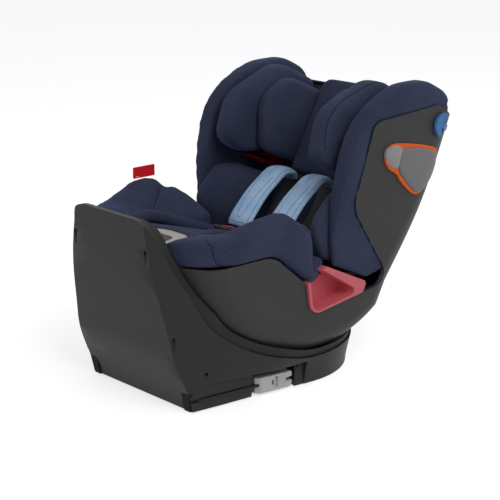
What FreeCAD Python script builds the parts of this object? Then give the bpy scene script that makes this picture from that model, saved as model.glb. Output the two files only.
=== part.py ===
import FreeCAD, Part

# Convertible car seat on a swivelling ISOFIX base. Millimetres, +Z up.
#
# The origin lies on the floor, on the axis that the seat turns about. The base's tall front panel
# stands on the -Y side, the backrest leans back towards +Y, and +X is the seat's left-hand side.
# The underside of the seat is a ball, which sits in the base's bowl; both the turn and the recline
# go through the ball's centre.

import math
import os
import types

import Sketcher
from FreeCAD import Placement, Rotation, Vector

doc = FreeCAD.newDocument("ConvertibleCarSeat")
sheet = doc.addObject("Spreadsheet::Sheet", "Sizes")


# ---------------------------------------------------------------- sizes


class Size:
    """A number together with the spreadsheet formula that gives it."""

    def __init__(self, value, formula):
        self.value = float(value)
        self.formula = formula

    def __float__(self):
        return self.value

    def __add__(self, other):
        other = sized(other)
        return Size(self.value + other.value, f"({self.formula} + {other.formula})")

    def __radd__(self, other):
        return sized(other) + self

    def __sub__(self, other):
        other = sized(other)
        return Size(self.value - other.value, f"({self.formula} - {other.formula})")

    def __rsub__(self, other):
        return sized(other) - self

    def __mul__(self, other):
        other = sized(other)
        return Size(self.value * other.value, f"({self.formula} * {other.formula})")

    def __rmul__(self, other):
        return sized(other) * self

    def __truediv__(self, other):
        other = sized(other)
        return Size(self.value / other.value, f"({self.formula} / {other.formula})")

    def __neg__(self):
        return Size(-self.value, f"(0 - {self.formula})")


def sized(number):
    """Turn a plain number into a Size, and leave a Size as it is."""
    if isinstance(number, Size):
        return number
    text = f"{number:.6f}".rstrip("0").rstrip(".")
    return Size(number, text if number >= 0 else f"(0 - {text.lstrip('-')})")


SIZES = {
    # the ball and the bowl
    "centre_height": (353.0, "height of the ball's centre above the floor"),
    "ball_radius": (335.0, "outside radius of the seat shell's round underside"),
    "bowl_radius": (340.0, "inside radius of the bowl liner"),
    "rim_clear": (3.0, "room between the seat's rear corners and the rim they turn past"),
    "bowl_wall": (4.0, "thickness of the bowl liner"),
    "rim_radius": (352.5, "radius of the sphere that the bowl's rim line lies on"),
    "rim_forward": (7.0, "how far that sphere's centre lies in front of the swivel axis"),
    "lip_width": (11.0, "width of the solid lip along the bowl's rim"),
    # the base housing
    "base_wall": (4.0, "wall of the base housing"),
    "floor_gap": (2.0, "height of the housing's lower edge above the floor"),
    "panel_height": (358.5, "top of the front panel"),
    "panel_reach": (353.0, "front panel's greatest distance in front of the axis"),
    "panel_lean": (69.0, "how far the panel's foot lies behind its top"),
    "panel_back": (343.0, "distance of the panel's flat inner face from the axis"),
    "foot_half_width": (148.0, "half width of the panel at the floor"),
    "panel_taper": (52.0, "how much narrower each side of the panel is at its top"),
    "crown_half_width": (109.0, "half width of the panel's top, at its sharp corner"),
    "crown_round": (54.0, "rounding of the panel's top corners"),
    "crown_slope": (0.34, "sideways run of the panel's shoulders per millimetre of height"),
    "rear_radius": (179.0, "radius of the rear of the base at the floor"),
    "rear_flare": (13.0, "how much wider the base's rear is at its rim"),
    "foot_bulge": (13.0, "side wall's offset from the front corner, at the floor"),
    "foot_run": (144.0, "distance of that point behind the front corner"),
    "flare_height": (70.0, "height of the base's widest section"),
    "flare_bulge": (46.0, "side wall's offset from the front corner, widest section"),
    "flare_run": (201.0, "distance of that point behind the front corner"),
    "waist_height": (150.0, "height of the panel's waist section"),
    "waist_bulge": (25.0, "side wall's offset from the front corner, waist"),
    "waist_run": (82.0, "distance of that point behind the front corner"),
    "shoulder_height": (230.0, "height of the panel's shoulder section"),
    "shoulder_bulge": (29.0, "side wall's offset from the front corner, shoulder"),
    "shoulder_run": (42.0, "distance of that point behind the front corner"),
    "neck_height": (300.0, "height of the panel's neck section"),
    "neck_bulge": (21.0, "side wall's offset from the front corner, neck"),
    "neck_run": (20.0, "distance of that point behind the front corner"),
    "corner_slot_width": (16.0, "width of the slots in the housing's front corners"),
    "corner_slot_height": (38.0, "height of those slots"),
    "tray_wall": (3.0, "thickness of the base tray"),
    "tray_rib": (10.0, "height of the ribs on the base tray"),
    "pad_radius": (14.0, "radius of a rubber foot"),
    "tray_hole": (86.0, "radius of the tray's hole under the turntable"),
    # turntable
    "hub_radius": (60.0, "radius of the turntable's hub"),
    "hub_bore": (30.0, "radius of the hole through the hub"),
    "hub_fit": (0.06, "radial running clearance of the hub"),
    "hub_seat": (24.0, "height of the liner's flat ring that the turntable turns on"),
    "hub_ring": (80.0, "outside radius of that ring"),
    "hub_bottom": (9.0, "height of the liner ring's lower face"),
    "keeper_wall": (3.0, "thickness of the retaining ring"),
    "keeper_gap": (0.3, "gap between the retaining ring and the liner"),
    "turntable_radius": (150.0, "outside radius of the turntable"),
    "turntable_wall": (11.0, "thickness of the turntable's dish"),
    "turntable_clear": (2.0, "gap between the turntable's rim and the bowl"),
    "cradle_radius": (290.0, "radius of the seat's underside over the turntable"),
    "cradle_clear": (0.4, "gap between the seat's underside and the turntable"),
    "cradle_half_width": (156.0, "half width of the hollow in the seat's underside"),
    "cradle_swing": (48.0, "half angle of that hollow, degrees"),
    "track_place": (72.0, "distance of each recline rail from the middle"),
    "track_block": (38.0, "width of the block that carries a rail's groove"),
    "rail_neck": (8.0, "width of a recline rail's neck"),
    "rail_foot": (16.0, "width of a recline rail's foot"),
    "rail_neck_depth": (6.0, "depth of the rail's neck"),
    "rail_foot_depth": (4.0, "depth of the rail's foot"),
    "rail_fit": (0.05, "running clearance of a rail in its groove"),
    "rail_swing": (30.0, "half angle of a recline rail, degrees"),
    # seat shell
    "shell_half_width": (190.0, "half width of the shell's lower part"),
    "shell_wall": (4.0, "wall of the seat shell"),
    "shell_edge": (44.0, "rounding of the shell's lower side edges"),
    "hip_y": (100.0, "place of the hip line behind the swivel axis"),
    "hip_height": (232.0, "height of the hip line"),
    "back_angle": (28.5, "lean of the backrest from the vertical, degrees"),
    "waist_half_width": (194.0, "half width of the back shell at the hip line"),
    "back_half_width": (211.0, "half width of the back shell at the shoulders"),
    "back_shoulder": (110.0, "height of the widest back section above the hip line"),
    "back_foot": (-70.0, "lower end of the back shell, from the hip line"),
    "back_top": (322.0, "top of the back shell above the hip line"),
    "back_depth": (114.0, "distance of the shell's rear face behind the hip line, at its top"),
    "back_swell": (16.0, "how much further back that face lies at the hip line"),
    "back_corner": (66.0, "rounding of the shell's rear corners"),
    "rim_height": (271.0, "height of the shell's rim beside the thighs"),
    "rim_rear": (-128.0, "place where that rim starts to fall"),
    "notch_front": (-46.0, "front upper corner of the belt notch"),
    "notch_front_z": (203.0, "height of that corner"),
    "notch_low": (-36.0, "lowest corner of the belt notch"),
    "notch_low_z": (140.0, "height of the lowest corner"),
    "lobe_rear": (178.0, "rear corner of the cover's lower lobe"),
    "lobe_rear_z": (168.0, "height of that corner"),
    "side_waist": (56.0, "front edge of the side panel at its waist"),
    "side_waist_z": (335.0, "height of the side panel's waist"),
    "side_top": (97.0, "front upper corner of the side panel"),
    "side_top_z": (490.0, "height of that corner"),
    "side_rear": (300.0, "rear upper corner of the side panel"),
    "side_rear_z": (503.0, "height of that corner"),
    # inner pan
    "pan_wall": (4.0, "thickness of the inner seat pan"),
    "pan_front": (-262.0, "front edge of the cushion's seat"),
    "pan_front_z": (268.0, "height of the pan under the cushion's front edge"),
    "pan_knee": (-190.0, "place where the pan bends down behind the front handle"),
    "pan_knee_z": (262.0, "height of that bend"),
    "pan_buckle": (-47.0, "place of the pan under the buckle"),
    "pan_buckle_z": (222.0, "height of the pan there"),
    "pan_back": (26.0, "distance of the back board behind the hip line"),
    # padding
    "soft_gap": (0.3, "gap between a padded piece and its neighbours"),
    "soft_edge": (12.0, "rounding of the padded pieces' edges"),
    "cushion_half_width": (94.0, "half width of the seat cushion"),
    "cushion_thick": (30.0, "thickness of the seat cushion"),
    "thigh_crest": (354.0, "height of the thigh bolster's crest"),
    "thigh_crest_y": (-125.0, "place of the crest"),
    "thigh_crest_z_rear": (292.0, "height where the bolster's rear end rounds over"),
    "thigh_dip": (-236.0, "place of the seam between the bolster's two lengths"),
    "thigh_dip_z": (323.0, "height of the cover at that seam"),
    "thigh_outer": (198.0, "outer face of the thigh bolster"),
    "thigh_rear": (-22.0, "rear end of the thigh bolster"),
    "thigh_round": (330.0, "reach of the seat's round front edge"),
    "wing_inner": (177.0, "inner face of the wings"),
    "wing_front": (145.0, "front edge of the wing in front of the hip line"),
    "wing_top": (350.0, "top of the wing above the hip line"),
    "wing_skin": (1.6, "how far the wing's cover stands proud of the shell"),
    "torso_inner": (95.0, "inner face of the torso bolsters"),
    "torso_front": (128.0, "front of the torso bolsters"),
    "torso_top": (106.0, "top of the torso bolsters above the hip line"),
    "back_pad_top": (118.0, "top of the back pad above the hip line"),
    # headrest
    "head_low": (124.0, "lower edge of the headrest above the hip line"),
    "head_top": (334.0, "top of the headrest above the hip line"),
    "head_lobe_outer": (157.0, "outer face of the headrest's outer lobes"),
    "head_lobe_inner": (104.0, "inner face of the outer lobes"),
    "head_cheek_inner": (70.0, "inner face of the inner cheek pads"),
    "head_lobe_front": (168.0, "front of the outer lobes"),
    "head_cheek_front": (118.0, "front of the inner cheek pads"),
    "head_wall": (5.0, "thickness of the headrest's shell"),
    "bar_half": (10.0, "half width of the headrest's guide bar"),
    "bar_fit": (0.1, "sideways running clearance of the guide bar in its slot"),
    "bar_low": (124.0, "lower end of the guide bar's slot above the hip line, less its margin"),
    # isofix
    "arm_spacing": (280.0, "distance between the two deployed arms"),
    "arm_pivot_y": (-262.0, "place of the arm pivots"),
    "arm_height": (22.0, "height of the arm plate's middle"),
    "arm_thick": (5.0, "thickness of the arm plate"),
    "arm_width": (24.0, "width of the arm plate"),
    "arm_angle": (6.7, "angle of the stowed arm from the seat's long axis, degrees"),
    "arm_length": (154.0, "length of the arm plate from its pivot"),
    "arm_clear": (1.0, "clearance round the arm plate in the housing's slot"),
    "arm_pin": (3.5, "radius of the arm's pivot pin"),
    "pin_fit": (0.05, "radial running clearance of a pin"),
    "bracket_wall": (4.0, "thickness of the arm bracket's ears"),
    "head_start": (117.0, "start of the connector head, from the pivot"),
    "head_tip": (199.0, "tip of the connector head, from the pivot"),
    "head_width": (27.0, "width of the connector head"),
    "head_height": (30.0, "height of the connector head"),
    "recess_face": (9.0, "distance of the side recess's face from the arm's axis"),
    "recess_top": (50.0, "height of the side recess"),
    "recess_rear": (228.0, "rear end of the side recess, from the pivot"),
    "jaw_gap": (8.0, "height of the jaw's opening"),
    "jaw_depth": (16.0, "depth of the jaw's opening"),
    "claw_thick": (6.0, "thickness of the jaw hook"),
    "claw_pivot": (162.0, "place of the jaw hook's pivot along the arm"),
    "claw_pivot_z": (30.0, "height of the jaw hook's pivot"),
    "claw_pin": (2.5, "radius of the jaw hook's shaft"),
    "button_start": (164.0, "near end of the release button, along the arm"),
    "button_long": (19.0, "length of the release button"),
    "button_depth": (4.0, "depth of the release button's pocket"),
    "button_travel": (8.0, "travel of the release button"),
    "slide_gap": (0.3, "clearance round a sliding button"),
    # guards and guides
    "guard_out": (10.0, "how far the cap stands off the side panel"),
    "stem_radius": (15.0, "radius of the guard's stem"),
    "stem_fit": (0.08, "radial running clearance of the guard's stem"),
    "stem_length": (31.0, "length of the guard's stem inside the shell"),
    "stem_reach": (12.0, "how far the stem runs on into the guard's cap"),
    "stem_behind": (0.0, "place of the stem behind the hip line"),
    "stem_up": (190.0, "height of the stem above the hip line"),
    "guide_wall": (5.0, "wall of the belt guides"),
    "guide_share": (0.64, "share of the notch's lower edge that the guide covers"),
    "guide_inner": (150.0, "inner end of the lower belt guide"),
    "guide_depth": (46.0, "depth of the lower belt guide, across the seat"),
    "guard_behind": (10.0, "place of the guard's cap behind the hip line"),
    "guard_up": (192.0, "height of the guard's cap above the hip line"),
    "guard_frame": (4.0, "width of the orange frame round the cap"),
    "hook_up": (292.0, "height of the belt hook above the hip line"),
    "hook_height": (50.0, "height of the belt hook's blade"),
    "hook_behind": (50.0, "place of the belt hook's blade behind the hip line"),
    # front handle
    "handle_length": (84.0, "length of the front handle's housing"),
    "handle_half": (44.0, "half width of the front handle's housing"),
    "handle_high": (26.0, "height of the front handle's housing"),
    "finger_half": (30.0, "half width of the handle's finger hole"),
    "finger_length": (36.0, "length of the handle's finger hole"),
    "lever_thick": (6.0, "thickness of the release lever"),
    "lever_high": (17.0, "height of the release lever above its pivot"),
    "lever_pin": (2.5, "radius of the release lever's journals"),
    # harness
    "strap_wide": (38.0, "width of the harness webbing"),
    "strap_thick": (1.6, "thickness of the harness webbing"),
    "shoulder_pad_wide": (52.0, "width of a shoulder pad"),
    "shoulder_pad_thick": (10.0, "thickness of a shoulder pad"),
    "strap_place": (49.0, "distance of each shoulder strap from the middle"),
    "buckle_y": (-68.0, "place of the buckle"),
    "buckle_wide": (56.0, "width of the buckle"),
    "buckle_tall": (50.0, "length of the buckle"),
    "buckle_thick": (20.0, "thickness of the buckle"),
    "button_side": (20.0, "side of the buckle's release button"),
    "tag_long": (53.0, "length of the red tag"),
    "tag_high": (22.0, "height of the red tag"),
}


def fill_sheet():
    """Write the driving sizes into the spreadsheet and return them as Size objects."""
    for row, (alias, (value, meaning)) in enumerate(SIZES.items(), start=1):
        sheet.set(f"A{row}", meaning)
        sheet.set(f"B{row}", str(value))
        sheet.setAlias(f"B{row}", alias)
    doc.recompute()
    return types.SimpleNamespace(
        **{alias: Size(sheet.get(alias), f"Sizes.{alias}") for alias in SIZES}
    )


mm = fill_sheet()


# ---------------------------------------------------------------- ways of making a shape


def bind(obj, sizes):
    """Tie properties of a feature to spreadsheet formulas."""
    for prop, size in sizes.items():
        obj.setExpression(prop, sized(size).formula)
    return obj


def at(x, y, z):
    """Placement properties of a point."""
    return {"Placement.Base.x": x, "Placement.Base.y": y, "Placement.Base.z": z}


def box(name, low, size):
    """A block from its low corner and its three sides."""
    block = doc.addObject("Part::Box", name)
    return bind(block, {"Length": size[0], "Width": size[1], "Height": size[2], **at(*low)})


def box_of(x, y, z, length, width, height):
    """A plain block given by its low corner and its size."""
    size = (float(length), float(width), float(height))
    return Part.makeBox(*size, Vector(float(x), float(y), float(z)))


def ball(name, radius, centre):
    """A full sphere."""
    return bind(doc.addObject("Part::Sphere", name), {"Radius": radius, **at(*centre)})


def rod(name, radius, length, foot, axis="Z"):
    """A cylinder from its foot along X, Y or Z."""
    obj = doc.addObject("Part::Cylinder", name)
    turn = {"X": Rotation(Vector(0, 1, 0), 90), "Y": Rotation(Vector(1, 0, 0), -90), "Z": Rotation()}
    obj.Placement = Placement(Vector(), turn[axis])
    return bind(obj, {"Radius": radius, "Height": length, **at(*foot)})


def cut(name, base, tool):
    obj = doc.addObject("Part::Cut", name)
    obj.Base = base
    obj.Tool = tool
    return obj


def fuse(name, *shapes):
    obj = doc.addObject("Part::MultiFuse", name)
    obj.Shapes = list(shapes)
    return obj


def common(name, *shapes):
    obj = doc.addObject("Part::MultiCommon", name)
    obj.Shapes = list(shapes)
    return obj


def solid(name, shape):
    """A feature that holds a shape worked out from the sizes."""
    obj = doc.addObject("Part::Feature", name)
    obj.Shape = shape
    return obj


def on_plane(plane, a, b, c=0.0):
    """The point at a, b in the XY, XZ or YZ plane, and c away from it."""
    a, b, c = float(a), float(b), float(c)
    return {"XY": Vector(a, b, c), "XZ": Vector(a, c, b), "YZ": Vector(c, a, b)}[plane]


def rounded_wire(corners, plane, level):
    """A closed outline of straight runs and tangent arcs; each corner is (a, b, radius)."""
    points = [Vector(float(a), float(b), 0) for a, b, _ in corners]
    count = len(points)
    trims = []
    for i, (_, _, radius) in enumerate(corners):
        before = (points[i - 1] - points[i]).normalize()
        after = (points[(i + 1) % count] - points[i]).normalize()
        half = math.acos(max(-1.0, min(1.0, before.dot(after)))) / 2
        reach = float(radius) / math.tan(half) if float(radius) > 0 else 0.0
        middle = (before + after).normalize() * (float(radius) / math.sin(half) - float(radius))
        trims.append((points[i] + before * reach, points[i] + middle, points[i] + after * reach, reach))
    edges = []
    for i in range(count):
        start, middle, end, reach = trims[i]
        if reach > 0:
            arc = [on_plane(plane, p.x, p.y, level) for p in (start, middle, end)]
            edges.append(Part.Arc(*arc).toShape())
        following = trims[(i + 1) % count][0]
        if (following - end).Length > 1e-4:
            edges.append(
                Part.makeLine(on_plane(plane, end.x, end.y, level),
                              on_plane(plane, following.x, following.y, level))
            )
    return Part.Wire(edges)


def prism(corners, plane, low, high):
    """A rounded outline carried straight from low to high across its plane."""
    face = Part.Face(rounded_wire(corners, plane, float(low)))
    return face.extrude(on_plane(plane, 0, 0, float(high) - float(low)))


def end_edges(shape, plane, levels):
    """The edges of a shape that lie in the planes at the given levels."""
    pick = {"XY": "z", "XZ": "y", "YZ": "x"}[plane]
    found = []
    for edge in shape.Edges:
        box_ = edge.BoundBox
        low, high = getattr(box_, pick.upper() + "Min"), getattr(box_, pick.upper() + "Max")
        if high - low < 1e-3 and any(abs(low - float(level)) < 1e-3 for level in levels):
            found.append(edge)
    return found


def pillow(corners, plane, low, high, edge):
    """A padded block: a rounded outline with both its faces rounded off."""
    block = prism(corners, plane, low, high)
    return block.makeFillet(float(edge), end_edges(block, plane, (low, high)))


def loft(wires):
    """A smooth solid through closed outlines."""
    return Part.makeLoft(wires, True, False)


def back_placement():
    """The backrest's own frame: x across, y behind the hip line, z up along the back."""
    lean = Rotation(Vector(1, 0, 0), -float(mm.back_angle))
    return Placement(Vector(0, float(mm.hip_y), float(mm.hip_height)), lean)


def back_point(behind, up):
    """Where a point of the backrest's frame lies, as (y, z) in the seat's frame."""
    lean = math.radians(float(mm.back_angle))
    behind, up = float(behind), float(up)
    y = float(mm.hip_y) + behind * math.cos(lean) + up * math.sin(lean)
    return y, float(mm.hip_height) - behind * math.sin(lean) + up * math.cos(lean)


def lean_back(obj):
    """Put a piece that is drawn in the backrest's frame in its place."""
    obj.Placement = back_placement()
    bind(obj, {"Placement.Base.y": mm.hip_y, "Placement.Base.z": mm.hip_height})
    return obj


def mirrored(name, source):
    """The same piece on the other side of the seat."""
    obj = doc.addObject("Part::Mirroring", name)
    obj.Source = source
    obj.Normal = Vector(1, 0, 0)
    return obj


def placed(shape, placement):
    copy = shape.copy()
    copy.Placement = placement.multiply(copy.Placement)
    return copy


def outline_sketch(body, name, role, corners, level=0):
    """A closed polygon on one of the body's own planes; every corner is tied to the sheet."""
    sketch = body.newObject("Sketcher::SketchObject", name)
    plane = next(item for item in body.Origin.OriginFeatures if item.Role == role)
    sketch.AttachmentSupport = [(plane, "")]
    sketch.MapMode = "FlatFace"
    bind(sketch, {"AttachmentOffset.Base.z": level})
    points = [Vector(float(a), float(b), 0) for a, b in corners]
    count = len(points)
    for i in range(count):
        sketch.addGeometry(Part.LineSegment(points[i], points[(i + 1) % count]))
    for i in range(count):
        sketch.addConstraint(Sketcher.Constraint("Coincident", i, 2, (i + 1) % count, 1))
    for i, corner in enumerate(corners):
        for kind, size in zip(("DistanceX", "DistanceY"), corner):
            index = sketch.addConstraint(Sketcher.Constraint(kind, -1, 1, i, 1, float(size)))
            sketch.setExpression(f"Constraints[{index}]", sized(size).formula)
    return sketch


def circle_sketch(body, name, role, centre, radius, level=0):
    """A circle on one of the body's own planes, tied to the sheet."""
    sketch = body.newObject("Sketcher::SketchObject", name)
    plane = next(item for item in body.Origin.OriginFeatures if item.Role == role)
    sketch.AttachmentSupport = [(plane, "")]
    sketch.MapMode = "FlatFace"
    bind(sketch, {"AttachmentOffset.Base.z": level})
    middle = Vector(float(centre[0]), float(centre[1]), 0)
    sketch.addGeometry(Part.Circle(middle, Vector(0, 0, 1), float(radius)))
    for kind, size in zip(("DistanceX", "DistanceY"), centre):
        index = sketch.addConstraint(Sketcher.Constraint(kind, -1, 1, 0, 3, float(size)))
        sketch.setExpression(f"Constraints[{index}]", sized(size).formula)
    index = sketch.addConstraint(Sketcher.Constraint("Radius", 0, float(radius)))
    sketch.setExpression(f"Constraints[{index}]", sized(radius).formula)
    return sketch


def pad(body, name, sketch, length, back=False):
    """Extrude a sketch along its normal, or against it."""
    feature = body.newObject("PartDesign::Pad", name)
    feature.Profile = sketch
    feature.Reversed = back
    return bind(feature, {"Length": length})


def pocket(body, name, sketch, depth, up=False):
    """Cut a sketch into the body: against its normal, or along it."""
    before = body.Shape.Volume
    feature = body.newObject("PartDesign::Pocket", name)
    feature.Profile = sketch
    feature.Reversed = up
    bind(feature, {"Length": depth})
    doc.recompute()
    if body.Shape.Volume > before - 1e-6:
        raise RuntimeError(name + " cuts nothing")
    return feature


def round_edges(body, name, radius, chosen, kind="Fillet"):
    """Fillet or chamfer the edges that a test picks out."""
    doc.recompute()
    base = body.Tip
    names = [f"Edge{i}" for i, edge in enumerate(base.Shape.Edges, start=1) if chosen(edge)]
    feature = body.newObject("PartDesign::" + kind, name)
    feature.Base = (base, names)
    return bind(feature, {"Radius" if kind == "Fillet" else "Size": radius})


def runs_along(edge, axis, length=0.0):
    """True for a straight edge along an axis, longer than a length."""
    if edge.Curve.TypeId != "Part::GeomLine" or edge.Length <= float(length):
        return False
    way = edge.Curve.Direction
    return abs(abs(getattr(way, axis)) - 1) < 1e-6


PIECES = []


def piece(obj, label):
    """Name a sub-part; the name is also its file's."""
    obj.Label = label
    PIECES.append(obj)
    return obj


# ---------------------------------------------------------------- base


def base_section(height, bulge, run, radius, inset):
    """The base's plan outline at one height: flat front, curved flanks, round rear."""
    z = float(height)
    rise = max(0.0, min(z / float(mm.panel_height), 1.0))
    front = float(mm.panel_reach) - float(mm.panel_lean) * (1 - rise) ** 2 - inset
    half = float(mm.foot_half_width) - float(mm.panel_taper) * rise**1.6
    flank = Vector(half + float(bulge) - inset, -(front + inset) + float(run), z)
    corner = Vector(half - inset, -front, z)
    side = Vector(float(radius) - inset, 0, z)
    edges = []
    for hand in (1, -1):
        foot, bend, end = (Vector(hand * p.x, p.y, z) for p in (corner, flank, side))
        heading = (bend - foot).normalize()
        curve = Part.BSplineCurve()
        curve.interpolate(Points=[bend, end], InitialTangent=heading, FinalTangent=Vector(0, 1, 0))
        edges.append([Part.makeLine(foot, bend), curve.toShape()])
    right, left = edges
    across = Part.makeLine(Vector(-corner.x, corner.y, z), corner)
    rear = Part.Arc(side, Vector(0, side.x, z), Vector(-side.x, 0, z)).toShape()
    return Part.Wire([across, *right, rear, *reversed(left)])


def base_form(name, inset):
    """The base's outer form, or the same form set in by a wall."""
    wide = mm.rear_radius + mm.rear_flare
    rows = (
        (mm.floor_gap - 20, mm.foot_bulge, mm.foot_run, mm.rear_radius),
        (mm.floor_gap, mm.foot_bulge, mm.foot_run, mm.rear_radius),
        (mm.flare_height, mm.flare_bulge, mm.flare_run, wide),
        (mm.waist_height, mm.waist_bulge, mm.waist_run, wide),
        (mm.shoulder_height, mm.shoulder_bulge, mm.shoulder_run, wide),
        (mm.neck_height, mm.neck_bulge, mm.neck_run, wide),
        (mm.panel_height + 4, mm.neck_bulge / 3, mm.neck_run / 3, wide),
    )
    inset = float(inset)
    body = loft([base_section(*row, inset) for row in rows])
    top = mm.panel_height - inset
    half = mm.crown_half_width - inset
    low = -40.0 if inset else float(mm.floor_gap)
    spread = mm.crown_slope * (top - low)
    arch = prism(
        [(-half - spread, low, 0), (half + spread, low, 0),
         (half, top, mm.crown_round - inset), (-half, top, mm.crown_round - inset)],
        "XZ", -500, 300)
    return solid(name, body.common(arch))


def rim_sphere(name):
    """The sphere that trims the base's rim, cut off flat behind the front panel."""
    whole = ball(name + "Ball", mm.rim_radius, (0, -mm.rim_forward, mm.centre_height))
    keep = box(name + "Keep", (-500, -mm.panel_back, -200), (1000, 1000, 1000))
    return common(name, whole, keep)


def arm_frame(hand=1):
    """The stowed arm's frame: x outwards, y along the arm from its pivot, z up."""
    turn = Rotation(Vector(0, 0, 1), -hand * float(mm.arm_angle))
    return Placement(Vector(hand * float(mm.arm_spacing) / 2, float(mm.arm_pivot_y), 0), turn)


def arm_box(name, low, size, hand=1):
    """A block in the frame of an arm."""
    block = doc.addObject("Part::Box", name)
    bind(block, {"Length": size[0], "Width": size[1], "Height": size[2]})
    corner = Vector(*(float(v) for v in low))
    block.Placement = arm_frame(hand).multiply(Placement(corner, Rotation()))
    return block


def outward(hand, inner, length):
    """Low x of a block that reaches outwards from its inner face, on either side."""
    return inner if hand > 0 else -inner - length


def arm_backing(hand):
    """The material that the housing has behind an arm's recess and round its connector head."""
    side = "R" if hand > 0 else "L"
    wall = mm.base_wall
    reach = 120.0
    face = outward(hand, mm.recess_face - wall, reach)
    recess = arm_box("RecessWall" + side, (face, -60, -30),
                     (reach, mm.recess_rear + 60 + wall, mm.recess_top + 30 + wall), hand)
    inner = outward(hand, -mm.head_width / 2 - 1 - wall, reach)
    pocket = arm_box("PocketWall" + side, (inner, mm.head_start - 8 - wall, -30),
                     (reach, mm.head_tip - mm.head_start + 16 + 2 * wall, mm.head_height + 46 + wall),
                     hand)
    return [recess, pocket]


def arm_cuts(hand):
    """What the arm's recess, pocket and slot take out of the housing."""
    side = "R" if hand > 0 else "L"
    reach = 120.0

    recess = arm_box("ArmRecess" + side, (outward(hand, mm.recess_face, reach), -60, -20),
                     (reach, mm.recess_rear + 60, mm.recess_top + 20), hand)
    inner = -mm.head_width / 2 - 1
    pocket = arm_box("ArmPocket" + side, (outward(hand, inner, reach), mm.head_start - 8, -20),
                     (reach, mm.head_tip - mm.head_start + 16, mm.head_height + 37), hand)
    gap = mm.arm_thick + 2 * mm.arm_clear
    low = mm.arm_height - gap / 2
    pivot_x = hand * mm.arm_spacing / 2
    sweep = rod("ArmSweep" + side, mm.head_start + 6, gap, (pivot_x, mm.arm_pivot_y, low))
    half = mm.arm_width / 2 + mm.arm_clear
    outer = box("ArmOuter" + side, (pivot_x - half if hand > 0 else pivot_x - 400 + half, -500, 0),
                (400, 900, 100))
    slot = common("ArmSlot" + side, sweep, outer)
    width = mm.corner_slot_width
    notch_x = mm.foot_half_width - mm.base_wall - width
    notch = box("CornerSlot" + side, (notch_x if hand > 0 else -notch_x - width, -400, -20),
                (width, 130, mm.corner_slot_height + 20))
    room = arm_box("BracketRoom" + side, (outward(hand, -20, 26.2), -8.5, 10), (26.2, 17, 24), hand)
    return [recess, pocket, slot, notch, room]


def make_base():
    """The housing, the bowl liner, the tray and what they hold."""
    form = base_form("BaseForm", 0)
    trimmed = cut("BaseTrim", form, rim_sphere("RimTrim"))
    backing = fuse("ArmBacking", *(arm_backing(1) + arm_backing(-1)))
    hollow = cut("BaseHollow", base_form("BaseInside", mm.base_wall), backing)
    tools = fuse("BaseTools", hollow, *(arm_cuts(1) + arm_cuts(-1)))
    piece(cut("BaseShell", trimmed, tools), "base_shell")

    centre = (0, 0, mm.centre_height)
    band = cut("LinerBand", common("LinerBlank", base_form("LinerForm", mm.base_wall),
                                   rim_sphere("LinerRim")), ball("Bowl", mm.bowl_radius, centre))
    core = cut("LinerCore", base_form("LinerInner", mm.base_wall + mm.lip_width),
               ball("BowlBack", mm.bowl_radius + mm.bowl_wall, centre))
    ring = rod("HubRing", mm.hub_ring, mm.hub_seat - mm.hub_bottom, (0, 0, mm.hub_bottom))
    bore = rod("HubBore", mm.hub_radius + mm.hub_fit, 100, (0, 0, -20))
    top = rod("HubTop", mm.hub_ring, 100, (0, 0, mm.hub_seat))
    dish = cut("LinerDish", band, core)
    piece(cut("Liner", fuse("LinerBody", dish, ring), fuse("HubTools", bore, top)), "bowl_liner")


def arc_bar(name, x_low, x_high, r_low, r_high, start, end):
    """A bar bent round the ball's sideways axis; angles run from straight down towards the rear."""
    x_low, x_high = float(x_low), float(x_high)
    r_low, r_high = float(r_low), float(r_high)
    centre = float(mm.centre_height)
    corners = [(x_low, centre - r_high), (x_high, centre - r_high),
               (x_high, centre - r_low), (x_low, centre - r_low)]
    face = Part.Face(Part.makePolygon([Vector(x, 0, z) for x, z in corners + corners[:1]]))
    axis = Vector(0, 0, centre)
    face.rotate(axis, Vector(1, 0, 0), float(start))
    return solid(name, face.revolve(axis, Vector(1, 0, 0), float(end) - float(start)))


def make_tray():
    """The plate under the housing, its ribs, and the rubber feet it stands on."""
    fit = mm.base_wall + mm.soft_gap
    plug = common("TrayPlug", base_form("TrayForm", fit),
                  box("TraySlice", (-300, -400, mm.floor_gap), (600, 700, mm.tray_wall)))
    hole = rod("TrayHole", mm.tray_hole, 50, (0, 0, -10))
    rooms = []
    for hand in (1, -1):
        side = "R" if hand > 0 else "L"
        inner = outward(hand, -mm.head_width / 2 - 1 - mm.base_wall - mm.soft_gap, 120)
        rooms.append(arm_box("TrayRoom" + side, (inner, -60, -10), (120, mm.recess_rear + 75, 60), hand))
    ribs = []
    for row in range(4):
        y = -mm.panel_reach * 0.66 + row * 40
        ribs.append(box(f"TrayRib{row}", (-mm.foot_half_width * 0.7, y, mm.floor_gap),
                        (mm.foot_half_width * 1.4, mm.tray_wall, mm.tray_wall + mm.tray_rib)))
    plate = fuse("TrayPlate", plug, *ribs)
    piece(cut("Tray", plate, fuse("TrayTools", hole, *rooms)), "base_tray")

    feet = []
    for x, y in ((0.62, -0.72), (-0.62, -0.72), (0.55, 0.3), (-0.55, 0.3), (0.0, 0.42)):
        spot = (x * mm.foot_half_width, y * mm.panel_reach, 0)
        feet.append(rod(f"Foot{len(feet)}", mm.pad_radius, mm.floor_gap, spot))
    piece(fuse("Feet", *feet), "rubber_feet")


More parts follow.
